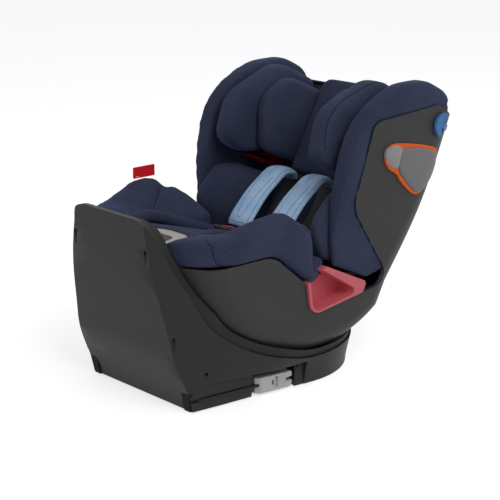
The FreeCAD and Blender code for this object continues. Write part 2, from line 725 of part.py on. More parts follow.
def make_turntable():
    """The dish that turns in the liner, its retaining ring and the grooves for the recline rails."""
    z0 = float(mm.centre_height)
    reach = float(mm.turntable_radius)
    low_r = float(mm.bowl_radius) - float(mm.turntable_clear)
    high_r = low_r - float(mm.turntable_wall)
    ring = float(mm.hub_ring)

    def height(radius, x):
        return z0 - math.sqrt(radius**2 - x**2)

    seat = float(mm.hub_seat)
    foot = float(mm.hub_bottom) - float(mm.keeper_gap)
    points = [
        Vector(float(mm.hub_bore), 0, foot), Vector(float(mm.hub_radius), 0, foot),
        Vector(float(mm.hub_radius), 0, seat), Vector(ring, 0, seat),
        Vector(ring, 0, height(low_r, ring)), Vector(reach, 0, height(low_r, reach)),
        Vector(reach, 0, height(high_r, reach)), Vector(float(mm.hub_bore), 0, height(high_r, 30)),
    ]
    middle = (ring + reach) / 2
    edges = [Part.makeLine(points[i], points[i + 1]) for i in (0, 1, 2, 3)]
    edges.append(Part.Arc(points[4], Vector(middle, 0, height(low_r, middle)), points[5]).toShape())
    edges.append(Part.makeLine(points[5], points[6]))
    edges.append(Part.Arc(points[6], Vector(middle, 0, height(high_r, middle)), points[7]).toShape())
    edges.append(Part.makeLine(points[7], points[0]))
    dish = Part.Face(Part.Wire(edges)).revolve(Vector(), Vector(0, 0, 1), 360)
    parts = [solid("TurntableDish", dish)]
    for hand in (1, -1):
        x = hand * mm.track_place - mm.track_block / 2
        low = mm.hub_seat + mm.turntable_wall / 2
        parts.append(box(f"TrackBlock{hand + 1}", (x, -mm.turntable_radius, low),
                         (mm.track_block, 2 * mm.turntable_radius, 100)))
    for hand in (1, -1):
        y = hand * mm.turntable_radius * 0.55 - mm.turntable_wall / 2
        parts.append(box(f"TrackBridge{hand + 1}", (-mm.track_place, y, mm.hub_seat + 4),
                         (2 * mm.track_place, mm.turntable_wall, 60)))
    column = rod("TurntableColumn", mm.turntable_radius, 200, (0, 0, 0))
    under = ball("TurntableUnder", mm.bowl_radius - mm.turntable_clear, (0, 0, mm.centre_height))
    track = common("TurntableTracks", fuse("TurntableBlocks", *parts[1:]), column, under)
    body = fuse("TurntableBody", parts[0], track)
    clear = mm.cradle_radius + mm.cradle_clear
    tools = [arc_bar("CradleRoom", -400, 400, 0, clear, -90, 90)]
    fit = mm.rail_fit
    neck_end = mm.cradle_radius + mm.rail_neck_depth
    for hand in (1, -1):
        x = hand * mm.track_place
        neck = mm.rail_neck / 2 + fit
        foot_ = mm.rail_foot / 2 + fit
        tools.append(arc_bar(f"NeckGroove{hand + 1}", x - neck, x + neck,
                             mm.cradle_radius - 5, neck_end + 1, -89, 89))
        tools.append(arc_bar(f"FootGroove{hand + 1}", x - foot_, x + foot_,
                             neck_end - fit, neck_end + mm.rail_foot_depth + fit, -89, 89))
    piece(cut("Turntable", body, fuse("TurntableTools", *tools)), "turntable")

    keeper = rod("KeeperDisc", mm.hub_ring - 2, mm.keeper_wall,
                 (0, 0, mm.hub_bottom - mm.keeper_gap - mm.keeper_wall))
    piece(cut("Keeper", keeper, rod("KeeperBore", mm.hub_bore, 50, (0, 0, -10))), "turntable_keeper")


def make_rails():
    """The two T-shaped rails under the seat that slide in the turntable's grooves."""
    neck_end = mm.cradle_radius + mm.rail_neck_depth
    parts = []
    for hand in (1, -1):
        x = hand * mm.track_place
        neck, foot = mm.rail_neck / 2, mm.rail_foot / 2
        parts.append(arc_bar(f"RailNeck{hand + 1}", x - neck, x + neck, mm.cradle_radius,
                             neck_end, -mm.rail_swing, mm.rail_swing))
        parts.append(arc_bar(f"RailFoot{hand + 1}", x - foot, x + foot, neck_end,
                             neck_end + mm.rail_foot_depth, -mm.rail_swing, mm.rail_swing))
    piece(fuse("Rails", *parts), "recline_rails")


# ---------------------------------------------------------------- seat shell


def side_outline():
    """The shell's outline from the side: thigh rim, belt notch, cover lobe and side panel."""
    return [
        (-500, mm.rim_height, 0), (mm.rim_rear, mm.rim_height, 60),
        (mm.notch_front, mm.notch_front_z, 8), (mm.notch_low, mm.notch_low_z, 24),
        (mm.lobe_rear, mm.lobe_rear_z, 26), (mm.side_waist, mm.side_waist_z, 60),
        (mm.side_top, mm.side_top_z, 30), (mm.side_rear, mm.side_rear_z, 0),
        (560, mm.side_rear_z + 4, 0), (560, -80, 0), (-500, -80, 0),
    ]


def belly(name, inset):
    """The ball-shaped lower part with rounded side edges, set in by a wall."""
    ball_r = float(mm.ball_radius) - inset
    half = float(mm.shell_half_width) - inset
    round_ = float(mm.shell_edge) - inset
    # centre of the rounding: inside the side plane and inside the ball by the same amount
    cx = half - round_
    cr = math.sqrt((ball_r - round_) ** 2 - cx**2)
    touch = ball_r / (ball_r - round_)
    z0 = float(mm.centre_height)

    def point(x, r):
        return Vector(x, 0, z0 - r)

    bend = math.atan2(cr, cx) / 2
    points = {}
    for hand in (1, -1):
        points[hand] = [
            point(hand * cx * touch, cr * touch),
            point(hand * (cx + round_ * math.cos(bend)), cr + round_ * math.sin(bend)),
            point(hand * half, cr), point(hand * half, 0),
        ]
    right, left = points[1], points[-1]
    edges = [
        Part.Arc(left[0], point(0, ball_r), right[0]).toShape(),
        Part.Arc(right[0], right[1], right[2]).toShape(),
        Part.makeLine(right[2], right[3]), Part.makeLine(right[3], left[3]),
        Part.makeLine(left[3], left[2]), Part.Arc(left[2], left[1], left[0]).toShape(),
    ]
    body = Part.Face(Part.Wire(edges)).revolve(Vector(0, 0, z0), Vector(1, 0, 0), 360)
    depth = float(mm.back_depth + mm.back_swell) - inset
    corner = float(mm.back_corner) - inset
    behind = prism([(-half - 1, -900, 0), (half + 1, -900, 0), (half + 1, depth, corner),
                    (-half - 1, depth, corner)], "XY", -500, 500)
    return solid(name, body.common(placed(behind, back_placement())))


def back_section(height, half, swell, inset):
    """The back shell's outline across the seat at one height, squared off in front."""
    half = float(half) - inset
    depth = float(mm.back_depth + swell * mm.back_swell) - inset
    corner = float(mm.back_corner) - inset
    front = -260.0
    return rounded_wire([(-half, front, 0), (half, front, 0), (half, depth, corner),
                         (-half, depth, corner)], "XY", float(height))


def back_form(name, inset):
    """The back shell's form in the seat's frame, set in by a wall; only the outer one ends at the top."""
    low = mm.back_foot + inset
    over = mm.back_top + 60
    rows = (
        (low, mm.waist_half_width - 8, 1.0), (0, mm.waist_half_width, 1.0),
        (mm.back_shoulder, mm.back_half_width, 0.7),
        (mm.back_top, mm.back_half_width + 3, 0.0), (over, mm.back_half_width + 3, -0.1),
    )
    body = loft([back_section(*row, inset) for row in rows])
    if not inset:
        body = body.common(Part.makeBox(800, 800, float(mm.back_top + 200),
                                        Vector(-400, -400, -200)))
    return solid(name, placed(body, back_placement()))


def rim_room(name, inset):
    """What the shell's rear corners lose, so that they turn past the panel's top edge."""
    near = float(mm.bowl_radius - mm.rim_clear) - inset
    top = float(mm.panel_height + mm.rim_clear) + inset
    far = near + 160
    points = [Vector(near, 0, top - 120), Vector(far, 0, top - 120), Vector(far, 0, top + 200),
              Vector(near, 0, top)]
    ring = Part.Face(Part.makePolygon(points + points[:1])).revolve(Vector(), Vector(0, 0, 1), 360)
    behind = Part.makeBox(1200, 600, 1200, Vector(-600, float(mm.bowl_radius) * 0.7, -300))
    return solid(name, ring.common(behind))


def make_shell():
    """The seat shell: belly and back in one moulding, hollow, trimmed to its side outline."""
    hollow_half = float(mm.cradle_half_width)
    wall = float(mm.shell_wall)
    room = arc_bar("CradleHollow", -hollow_half, hollow_half, mm.cradle_radius, 420,
                   -mm.cradle_swing, mm.cradle_swing)
    room_wall = arc_bar("CradleWall", -hollow_half - wall, hollow_half + wall,
                        mm.cradle_radius - wall, 425, -mm.cradle_swing - 1, mm.cradle_swing + 1)
    whole = fuse("ShellForm", cut("BellyOuter", belly("Belly", 0.0), room), back_form("Back", 0.0))
    hollow = fuse("ShellHollow", cut("BellyInner", belly("BellyIn", wall), room_wall),
                  back_form("BackIn", wall))
    outer = cut("ShellOuter", whole, rim_room("RimRoom", 0.0))
    inner = cut("ShellInner", hollow, rim_room("RimRoomIn", wall))
    keep = solid("SideKeep", prism(side_outline(), "YZ", -400, 400))
    form = doc.getObject("Back")
    form.Label = "BackOuterForm"
    shell = common("ShellTrim", cut("ShellWalls", outer, inner), keep)
    v, u = mm.hook_behind, mm.hook_up
    half = mm.hook_height / 2
    window = prism([(v + 2, u - half + 2, 4), (v + 16, u - half + 2, 4), (v + 16, u + half - 4, 4),
                    (v + 2, u + half - 4, 4)], "YZ", -300, 300)
    windows = solid("HookWindows", placed(window, back_placement()))
    stem = guard_stem("StemBore", mm.stem_fit)
    other = mirrored("StemBoreL", stem)
    piece(cut("SeatShell", shell, fuse("ShellTools", windows, stem, other)), "seat_shell")
    return outer, inner, keep


def guide_corner():
    """The guide's lower rear corner, on the notch's lower edge."""
    share = mm.guide_share
    return (mm.notch_low + (mm.lobe_rear - mm.notch_low) * share,
            mm.notch_low_z + (mm.lobe_rear_z - mm.notch_low_z) * share)


def guide_outline():
    """The lower belt guide from the side, on the edge of the shell's notch."""
    deep = guide_corner()
    return [
        (mm.notch_front, mm.notch_front_z, 0), (mm.notch_low, mm.notch_low_z, 24), (*deep, 14),
        (deep[0] + 10, deep[1] + 20, 8), (2, 229, 0),
    ]


def make_pan(inner):
    """The inner moulding: a seat pan and a back board with the headrest's slot."""
    wall = mm.pan_wall
    back = mm.pan_back
    top = mm.back_top - 4
    corners = [
        (-400, mm.pan_front_z - 6), (mm.pan_front, mm.pan_front_z), (mm.pan_knee, mm.pan_knee_z),
        (mm.pan_buckle, mm.pan_buckle_z), back_point(back, -32), back_point(back, top),
        back_point(back + wall, top), back_point(back + wall, -34),
        (mm.pan_buckle, mm.pan_buckle_z - wall), (mm.pan_knee, mm.pan_knee_z - wall),
        (mm.pan_front, mm.pan_front_z - wall), (-400, mm.pan_front_z - 6 - wall),
    ]
    sheet_ = prism([(y, z, 0) for y, z in corners], "YZ", -300, 300)
    slot = prism([(-mm.bar_half - mm.bar_fit, mm.bar_low - 60, 0),
                  (mm.bar_half + mm.bar_fit, mm.bar_low - 60, 0),
                  (mm.bar_half + mm.bar_fit, 600, 0), (-mm.bar_half - mm.bar_fit, 600, 0)],
                 "XZ", 0, 60)
    sheet_ = sheet_.cut(placed(slot, back_placement()))
    level = mm.back_pad_top + 3.7
    for hand in (1, -1):
        low = hand * mm.strap_place - mm.strap_wide / 2 - 0.5
        high = low + mm.strap_wide + 1
        slit = prism([(low, level - 3, 0), (high, level - 3, 0), (high, level + 3, 0),
                      (low, level + 3, 0)], "XZ", 0, 60)
        sheet_ = sheet_.cut(placed(slit, back_placement()))
    blank = solid("PanBlank", sheet_)
    rooms = [prism(guide_outline(), "YZ", *span) for span in
             ((mm.guide_inner, 260), (-260, -mm.guide_inner))]
    clear = mm.wing_inner - mm.soft_gap
    rooms.extend(box_of(x, mm.notch_front, mm.notch_low_z - 40, 120, 600, 600)
                 for x in (clear, -clear - 120))
    under = mm.cushion_half_width + 3
    rooms.extend(box_of(x, mm.notch_front - 30, mm.notch_front_z - 10, 120, 116, 40)
                 for x in (under, -under - 120))
    room = solid("PanGuideRoom", rooms[0].multiFuse(rooms[1:]))
    piece(cut("Pan", common("PanTrim", blank, inner), room), "seat_pan")


def guard_stem(name, play):
    """The round stem that carries a side guard through the shell's side, grown by some play."""
    x = mm.back_half_width - mm.stem_length
    y, z = back_point(mm.stem_behind, mm.stem_up)
    return rod(name, mm.stem_radius + play, mm.stem_length + mm.stem_reach, (x, y, z), "X")


# ---------------------------------------------------------------- padding


def handle_outline(grow):
    """The front handle's housing from above, grown by a gap."""
    half = mm.handle_half + grow
    front = mm.pan_front - 12
    return [(-half, front - grow, 8), (half, front - grow, 8),
            (half, front + mm.handle_length + grow, 30), (-half, front + mm.handle_length + grow, 30)]


def make_cushion():
    """The seat cushion between the thigh bolsters."""
    thick = mm.cushion_thick
    gap = mm.soft_gap
    rear_y = mm.hip_y - 8
    slope = (mm.pan_buckle_z - back_point(mm.pan_back, -32)[1]) / (
        back_point(mm.pan_back, -32)[0] - mm.pan_buckle)
    rear_z = mm.pan_buckle_z - (rear_y - mm.pan_buckle) * slope
    front_z = mm.pan_front_z
    corners = [
        (mm.pan_front, front_z + gap, 0), (mm.pan_knee, mm.pan_knee_z + gap, 0),
        (mm.pan_buckle, mm.pan_buckle_z + gap, 0), (rear_y, rear_z + gap, 0),
        (rear_y, rear_z + thick, 10), (mm.pan_buckle, mm.pan_buckle_z + thick, 150),
        (mm.pan_knee - 10, mm.pan_knee_z + thick + 4, 60), (mm.pan_front + 20, front_z + thick, 16),
        (mm.pan_front, front_z + thick * 0.6, 8),
    ]
    half = mm.cushion_half_width
    block = pillow(corners, "YZ", -half, half, 5)
    room = prism(handle_outline(1.0), "XY", 200, 400)
    wide = mm.strap_wide / 2 + 1
    crotch = mm.buckle_y - mm.buckle_tall / 2 - 8
    slot = prism([(-wide, crotch - 5, 0), (wide, crotch - 5, 0),
                  (wide, crotch + 5, 0), (-wide, crotch + 5, 0)], "XY", 200, 300)
    block = block.cut(room).cut(slot)
    piece(solid("Cushion", block), "seat_cushion")


def make_thigh_bolster():
    """The padded hump beside each thigh, rounded off with the seat's front edge."""
    gap = mm.soft_gap
    corners = [
        (-400, mm.rim_height + gap, 0), (mm.rim_rear + 4, mm.rim_height + gap, 60),
        (mm.notch_front + 2, mm.notch_front_z + 6, 8), (mm.thigh_rear, mm.notch_front_z + 6, 10),
        (mm.thigh_rear, mm.thigh_crest_z_rear, 34), (-66, mm.thigh_crest - 2, 40),
        (mm.thigh_crest_y - 28, mm.thigh_crest + 3, 60), (mm.thigh_dip, mm.thigh_dip_z - 3, 22),
        (-400, mm.thigh_dip_z - 8, 0),
    ]
    block = prism(corners, "YZ", mm.cushion_half_width + 6, mm.thigh_outer)
    block = block.makeFillet(14, end_edges(block, "YZ", (mm.thigh_outer,)))
    slope = placed(Part.makeBox(300, 900, 200, Vector(-300, -600, 0)),
                   Placement(Vector(float(mm.thigh_outer) - 13, 0, float(mm.thigh_crest)),
                             Rotation(Vector(0, 1, 0), -27)))
    round_ = mm.thigh_round
    low_x = mm.cushion_half_width
    front = prism([(low_x, 100, 0), (low_x, -round_ + 4, 0), (low_x + 32, -round_ + 16, 30),
                   (mm.thigh_outer - 18, -round_ * 0.79, 40), (mm.thigh_outer, -round_ * 0.62, 40),
                   (mm.thigh_outer, 100, 0)], "XY", 0, 600)
    clear = Part.makeSphere(float(mm.ball_radius - mm.soft_gap), Vector(0, 0, float(mm.centre_height)))
    right = piece(solid("ThighR", block.cut(slope).common(front).common(clear)), "thigh_bolster_r")
    piece(mirrored("ThighL", right), "thigh_bolster_l")


def make_torso_bolster():
    """The side padding beside the hips, in the backrest's frame."""
    front = mm.torso_front
    corners = [
        (mm.pan_back - 1, -20, 0), (-front * 0.62, -40, 22), (-front - 6, 8, 40),
        (-front * 0.86, mm.torso_top - 22, 30), (-front * 0.5, mm.torso_top, 26),
        (mm.pan_back - 1, mm.torso_top, 0),
    ]
    block = pillow(corners, "YZ", mm.torso_inner + mm.soft_gap, mm.wing_inner - mm.soft_gap,
                   mm.soft_edge)
    right = piece(lean_back(solid("TorsoR", block)), "torso_bolster_r")
    piece(mirrored("TorsoL", right), "torso_bolster_l")


def make_back_pad():
    half = mm.torso_inner - mm.soft_gap
    block = pillow([(-half, 1, 10), (half, 1, 10), (half, mm.back_pad_top, 24),
                    (-half, mm.back_pad_top, 24)], "XZ", -2, mm.pan_back - mm.soft_gap, 6)
    piece(lean_back(solid("BackPad", block)), "back_pad")


def make_wing(keep):
    """The padded wing: its cover wraps over the shell's front edge down to the belt notch."""
    front = mm.wing_front
    top = mm.wing_top
    corners = [
        (-82, -44, 5), (40, -36, 12), (88, 10, 24), (70, mm.back_top - 14, 10),
        (92, mm.back_top - 8, 6), (84, top - 20, 20), (40, top + 4, 60), (-20, top + 2, 60),
        (-92, top - 38, 60), (-front - 3, top - 128, 90), (-front - 6, 130, 120),
        (-108, 10, 90),
    ]
    block = prism(corners, "YZ", mm.wing_inner + mm.soft_gap, mm.back_half_width + 12)
    body = solid("WingBlank", placed(block, back_placement()))
    skin = back_form("WingSkin", -float(mm.wing_skin))
    shaped = common("WingShaped", body, skin)
    shell_room = common("WingRoom", cut("WingRoomWalls", back_form("WingOut", -5.0),
                        back_form("WingIn", float(mm.shell_wall + mm.soft_gap))), keep)
    stem = guard_stem("WingStem", 2)
    right = piece(cut("WingR", shaped, fuse("WingTools", shell_room, stem)), "wing_r")
    piece(mirrored("WingL", right), "wing_l")
    top = mm.back_top + mm.soft_gap
    half = mm.wing_inner - mm.soft_gap
    roll = prism([(-half, mm.pan_back, 0), (half, mm.pan_back, 0), (half, mm.back_depth - 6, 50),
                  (-half, mm.back_depth - 6, 50)], "XY", top, top + 6)
    gate = mm.bar_half + 1.5
    behind = mm.pan_back + mm.pan_wall + 14
    way = prism([(-gate, 0, 0), (gate, 0, 0), (gate, behind, 3), (-gate, behind, 3)], "XY",
                top - 1, top + 7)
    piece(lean_back(solid("TopCover", roll.cut(way))), "top_cover")


# ---------------------------------------------------------------- headrest


def head_block(name, corners, low, high, edge):
    """A headrest pad: an outline from the side, carried across and rounded."""
    return lean_back(solid(name, pillow(corners, "YZ", low, high, edge)))


def make_headrest():
    """The headrest's shell and guide bar, its pads and the shoulder belt guides."""
    rear = mm.pan_back - mm.soft_gap
    wall = mm.head_wall
    low, high = mm.head_low, mm.head_top
    outer = mm.head_lobe_outer + mm.head_wall + 2 * mm.soft_gap
    side = mm.head_lobe_outer + mm.soft_gap
    cup = prism([(-outer, -58, 0), (-side, -58, 0), (-side, rear - wall, 0), (side, rear - wall, 0),
                 (side, -58, 0), (outer, -58, 0), (outer, rear, 10), (-outer, rear, 10)],
                "XY", low + 44, high - 40)
    half = mm.bar_half
    bar = prism([(-half, mm.bar_low - 52, 0), (half, mm.bar_low - 52, 0), (half, high - 40, 0),
                 (-half, high - 40, 0)], "XZ", mm.pan_back + 0.3, mm.pan_back + mm.pan_wall + 12)
    neck = prism([(-half, low + 50, 0), (half, low + 50, 0), (half, high - 40, 0),
                  (-half, high - 40, 0)], "XZ", rear - 1, mm.pan_back + 2)
    bar = bar.fuse(neck)
    piece(lean_back(solid("HeadShell", cup.fuse(bar).removeSplitter())), "headrest_shell")

    face = rear - wall - mm.soft_gap
    centre = pillow([(-mm.head_cheek_inner, low + 2, 12), (mm.head_cheek_inner, low + 2, 12),
                     (mm.head_cheek_inner, high - 4, 26), (-mm.head_cheek_inner, high - 4, 26)],
                    "XZ", -8, face, 8)
    piece(lean_back(solid("HeadCentre", centre)), "headrest_centre")
    cheek = [(face, low + 22, 0), (-84, low + 14, 30), (-mm.head_cheek_front - 14, low + 106, 60),
             (-88, low + 172, 44), (face, low + 182, 0)]
    right = piece(head_block("CheekR", cheek, mm.head_cheek_inner + mm.soft_gap,
                             mm.head_lobe_inner - mm.soft_gap, 11), "headrest_cheek_r")
    piece(mirrored("CheekL", right), "headrest_cheek_l")
    lobe = [(face, low + 44, 0), (-34, low + 36, 20), (-62, low + 12, 18), (-100, low - 3, 26),
            (-mm.head_lobe_front + 14, low - 1, 34), (-mm.head_lobe_front - 8, low + 92, 66),
            (-86, high - 12, 66), (face, high - 8, 12)]
    right = piece(head_block("LobeR", lobe, mm.head_lobe_inner, mm.head_lobe_outer, 14),
                  "headrest_lobe_r")
    piece(mirrored("LobeL", right), "headrest_lobe_l")

    plate = prism([(-58, low + 3, 2), (-44, low - 2, 6), (rear, low + 4, 3), (rear, low + 44, 0),
                   (rear - wall + 1, low + 44, 0), (face - 7, low + 34, 4), (-28, low + 28, 8)],
                  "YZ", mm.head_lobe_inner + 14, mm.head_lobe_outer - 2)
    slot = prism([(-90, low - 1, 0), (-2, low + 12, 2), (-2, low + 19, 2), (-90, low + 5, 0)],
                 "YZ", 0, 300)
    right = piece(lean_back(solid("UpperGuideR", plate.cut(slot))), "upper_belt_guide_r")
    piece(mirrored("UpperGuideL", right), "upper_belt_guide_l")


# ---------------------------------------------------------------- connectors


def body_at(name, placement):
    body = doc.addObject("PartDesign::Body", name)
    body.Placement = placement
    return body


def make_connector(hand):
    """One of the two lower anchor connectors, folded into the side of the base."""
    side = "R" if hand > 0 else "L"
    tail = "_r" if hand > 0 else "_l"
    frame = arm_frame(hand)
    half = mm.arm_width / 2
    low = mm.arm_height - mm.arm_thick / 2

    arm = body_at("Arm" + side, frame)
    plate = outline_sketch(arm, "ArmOutline" + side, "XY_Plane", [
        (-half, -half), (half, -half), (half, mm.arm_length), (-half, mm.arm_length)], low)
    pad(arm, "ArmPlate" + side, plate, mm.arm_thick)
    doc.recompute()
    eye = circle_sketch(arm, "ArmEye" + side, "XY_Plane", (0, 0), mm.arm_pin + mm.pin_fit)
    pocket(arm, "ArmBore" + side, eye, mm.arm_height * 2, up=True)
    round_edges(arm, "ArmRound" + side, half - 1, lambda e: runs_along(e, "z")
                and abs(e.CenterOfMass.y + float(half)) < 0.01)
    piece(arm, "isofix_arm" + tail)

    head = body_at("Head" + side, frame)
    wide = mm.head_width / 2
    foot = mm.arm_height - mm.head_height / 2 - 1
    outline = outline_sketch(head, "HeadOutline" + side, "XY_Plane", [
        (-wide, mm.head_start + 8), (-wide + 8, mm.head_start), (wide - 8, mm.head_start),
        (wide, mm.head_start + 8), (wide, mm.head_tip - 12), (wide - 3, mm.head_tip),
        (-wide + 3, mm.head_tip), (-wide, mm.head_tip - 12)], foot)
    pad(head, "HeadBlock" + side, outline, mm.head_height)
    round_edges(head, "HeadTip" + side, 6, lambda e: runs_along(e, "x")
                and e.CenterOfMass.y > float(mm.head_tip) - 1)
    round_edges(head, "HeadTop" + side, 1.5, lambda e: abs(e.CenterOfMass.z - float(
        foot + mm.head_height)) < 0.01 and e.Length > 20 and not runs_along(e, "x"))
    room = outline_sketch(head, "PlateRoom" + side, "XY_Plane", [
        (-half, mm.head_start - 1), (half, mm.head_start - 1), (half, mm.arm_length),
        (-half, mm.arm_length)], low)
    pocket(head, "PlatePocket" + side, room, mm.arm_thick, up=True)
    gap = mm.jaw_gap / 2
    jaw_z = mm.arm_height - 1
    jaw = outline_sketch(head, "JawOutline" + side, "YZ_Plane", [
        (mm.head_tip - mm.jaw_depth, jaw_z - gap), (mm.head_tip + 1, jaw_z - gap),
        (mm.head_tip + 1, jaw_z + gap), (mm.head_tip - mm.jaw_depth, jaw_z + gap)], -wide)
    pocket(head, "Jaw" + side, jaw, mm.head_width, up=True)
    claw = mm.claw_thick / 2 + mm.slide_gap
    claw_room = outline_sketch(head, "ClawRoom" + side, "XY_Plane", [
        (-claw, mm.claw_pivot - 7), (claw, mm.claw_pivot - 7),
        (claw, mm.head_tip - 3), (-claw, mm.head_tip - 3)], jaw_z - gap - 5)
    pocket(head, "ClawPocket" + side, claw_room, mm.head_height, up=True)
    pin_ = circle_sketch(head, "ClawBore" + side, "YZ_Plane", (mm.claw_pivot, mm.claw_pivot_z),
                         mm.claw_pin + mm.pin_fit, -wide)
    pocket(head, "ClawHole" + side, pin_, mm.head_width, up=True)
    slide = mm.slide_gap
    face = wide - mm.button_depth if hand > 0 else -wide
    track = outline_sketch(head, "ButtonRoom" + side, "YZ_Plane", [
        (mm.button_start - mm.button_travel - slide, jaw_z - 9 - slide),
        (mm.button_start + mm.button_long + slide, jaw_z - 9 - slide),
        (mm.button_start + mm.button_long + slide, jaw_z + 9 + slide),
        (mm.button_start - mm.button_travel - slide, jaw_z + 9 + slide)], face)
    pocket(head, "ButtonPocket" + side, track, mm.button_depth, up=True)
    piece(head, "isofix_head" + tail)

    hook = body_at("Claw" + side, frame)
    tip = mm.head_tip - 6
    z = mm.claw_pivot_z
    shape = outline_sketch(hook, "ClawOutline" + side, "YZ_Plane", [
        (mm.claw_pivot - 5, z - 5), (tip - 9, z - 4), (tip - 9, jaw_z - gap - 3),
        (tip - 3, jaw_z - gap - 3), (tip, z), (tip - 3, z + 4), (mm.claw_pivot - 5, z + 5)],
        -mm.claw_thick / 2)
    pad(hook, "ClawBlade" + side, shape, mm.claw_thick)
    doc.recompute()
    start = 1 - wide if hand > 0 else 0.5 + mm.button_depth - wide
    shaft = circle_sketch(hook, "ClawShaft" + side, "YZ_Plane", (mm.claw_pivot, z), mm.claw_pin, start)
    pad(hook, "ClawPin" + side, shaft, mm.head_width - mm.button_depth - 1.5)
    piece(hook, "isofix_hook" + tail)

    button = body_at("Release" + side, frame)
    depth = mm.button_depth - slide
    inner = face + slide if hand > 0 else face - 1
    long_ = mm.button_long
    press = outline_sketch(button, "ReleaseOutline" + side, "YZ_Plane", [
        (mm.button_start, jaw_z - 9), (mm.button_start + long_, jaw_z - 9),
        (mm.button_start + long_, jaw_z + 9), (mm.button_start, jaw_z + 9)], inner)
    pad(button, "ReleaseBlock" + side, press, depth + 1)
    doc.recompute()
    outside = inner + depth if hand > 0 else inner
    for i in range(4):
        y = mm.button_start + 2.5 + i * 4.5
        groove = outline_sketch(button, f"ReleaseGroove{i}{side}", "YZ_Plane", [
            (y, jaw_z - 7), (y + 1.5, jaw_z - 7), (y + 1.5, jaw_z + 7), (y, jaw_z + 7)], outside)
        pocket(button, f"ReleaseRib{i}{side}", groove, 1, up=True)
    piece(button, "isofix_release" + tail)

    bracket = body_at("Bracket" + side, frame)
    wall = mm.bracket_wall
    floor = mm.floor_gap + mm.tray_wall
    below = low - mm.arm_clear
    above = low + mm.arm_thick + mm.arm_clear
    reach = hand * 5.7
    web = -hand * (half + 6)
    back = -hand * (half + 6 + wall)
    sketch = outline_sketch(bracket, "BracketOutline" + side, "XZ_Plane", [
        (back, floor), (web, floor), (web, below - wall), (reach, below - wall), (reach, below),
        (web, below), (web, above), (reach, above), (reach, above + wall), (back, above + wall)], -8)
    pad(bracket, "BracketBlock" + side, sketch, 16)
    doc.recompute()
    hole = circle_sketch(bracket, "BracketBore" + side, "XY_Plane", (0, 0), mm.arm_pin)
    pocket(bracket, "BracketHole" + side, hole, 60, up=True)
    piece(bracket, "isofix_bracket" + tail)

    pin = doc.addObject("Part::Cylinder", "ArmPin" + side)
    pin.Placement = frame.multiply(Placement(Vector(0, 0, float(below - wall) - 1), Rotation()))
    bind(pin, {"Radius": mm.arm_pin, "Height": mm.arm_thick + 2 * mm.arm_clear + 2 * wall + 2})
    piece(pin, "isofix_pin" + tail)


# ---------------------------------------------------------------- guards, guides and hooks


def guard_outline():
    """The side guard's cap from the side, with the round thumb lobe in front."""
    v, u = mm.guard_behind, mm.guard_up
    return [
        (v - 62, u + 20, 8), (v + 30, u + 46, 14), (v + 60, u + 38, 16), (v + 64, u - 24, 30),
        (v + 42, u - 48, 16), (v + 4, u - 40, 24), (v - 62, u - 30, 8), (v - 94, u - 30, 24),
        (v - 94, u + 20, 24),
    ]


def make_guards():
    """The side-impact guards: a cap with a stem, and the orange frame round it."""
    outline = placed(Part.Face(rounded_wire(guard_outline(), "YZ", 0)), back_placement())
    frame_face = outline.makeOffset2D(float(mm.guard_frame))
    way = Vector(320, 0, 0)
    cap_form = back_form("GuardForm", -float(mm.guard_out))
    stand = back_form("GuardStand", -float(mm.soft_gap))
    cap = common("GuardBlank", solid("GuardPrism", outline.extrude(way)), cap_form)
    stem = guard_stem("GuardStem", 0)
    body = fuse("GuardR", cut("GuardCap", cap, stand), stem)
    right = piece(body, "side_guard_r")
    piece(mirrored("GuardL", right), "side_guard_l")
    ring = solid("FramePrism", frame_face.extrude(way).cut(outline.extrude(way)))
    thin = common("FrameBlank", ring, back_form("FrameForm", -float(mm.guard_out) * 0.6))
    right = piece(cut("FrameR", thin, stand), "guard_frame_r")
    piece(mirrored("FrameL", right), "guard_frame_l")


def make_hooks():
    """The blue belt hooks at the upper rear corners."""
    v, u = mm.hook_behind, mm.hook_up
    half = mm.hook_height / 2
    blade = prism([(v - 8, u - half, 3), (v, u - half + 4, 3), (v, u + half, 3), (v - 6, u + half + 2, 3)],
                  "YZ", 80, 300)
    bridge = prism([(v - 5, u - 6, 0), (v + 24, u - 6, 3), (v + 24, u + 6, 3), (v - 5, u + 6, 0)],
                   "YZ", 80, 300)
    blade = solid("HookBlade", placed(blade, back_placement()))
    bridge = solid("HookBridge", placed(bridge, back_placement()))
    high = back_form("HookHigh", -8.0)
    low = back_form("HookLow", -3.0)
    foot = cut("HookFoot", common("HookBridgeBlank", bridge, high), doc.getObject("Back"))
    top = cut("HookTop", common("HookBladeBlank", blade, high), low)
    right = piece(fuse("HookR", top, foot), "belt_hook_r")
    piece(mirrored("HookL", right), "belt_hook_l")


def make_lower_guides():
    """The red guides that line the belt notches under the wings."""
    wall = mm.guide_wall
    outline = guide_outline()
    deep = guide_corner()
    inside = [
        (mm.notch_front + wall, mm.notch_front_z + 19, 0),
        (mm.notch_low + wall, mm.notch_low_z + wall, 19),
        (deep[0] - wall * 2, deep[1] + wall, 8), (-5, 222, 0),
    ]
    low = mm.guide_inner + mm.soft_gap
    high = mm.guide_inner + mm.guide_depth
    body = prism(outline, "YZ", low, high)
    hole = prism(inside, "YZ", low + 3, high + 1)
    back_hole = hole.common(Part.makeBox(400, 400, 80, Vector(0, -150, 200)))
    through = placed(back_hole, Placement(Vector(-10, 0, 0), Rotation()))
    right = piece(solid("LowerGuideR", body.cut(hole).cut(through)), "lower_belt_guide_r")
    piece(mirrored("LowerGuideL", right), "lower_belt_guide_l")


# ---------------------------------------------------------------- handle, harness, tag


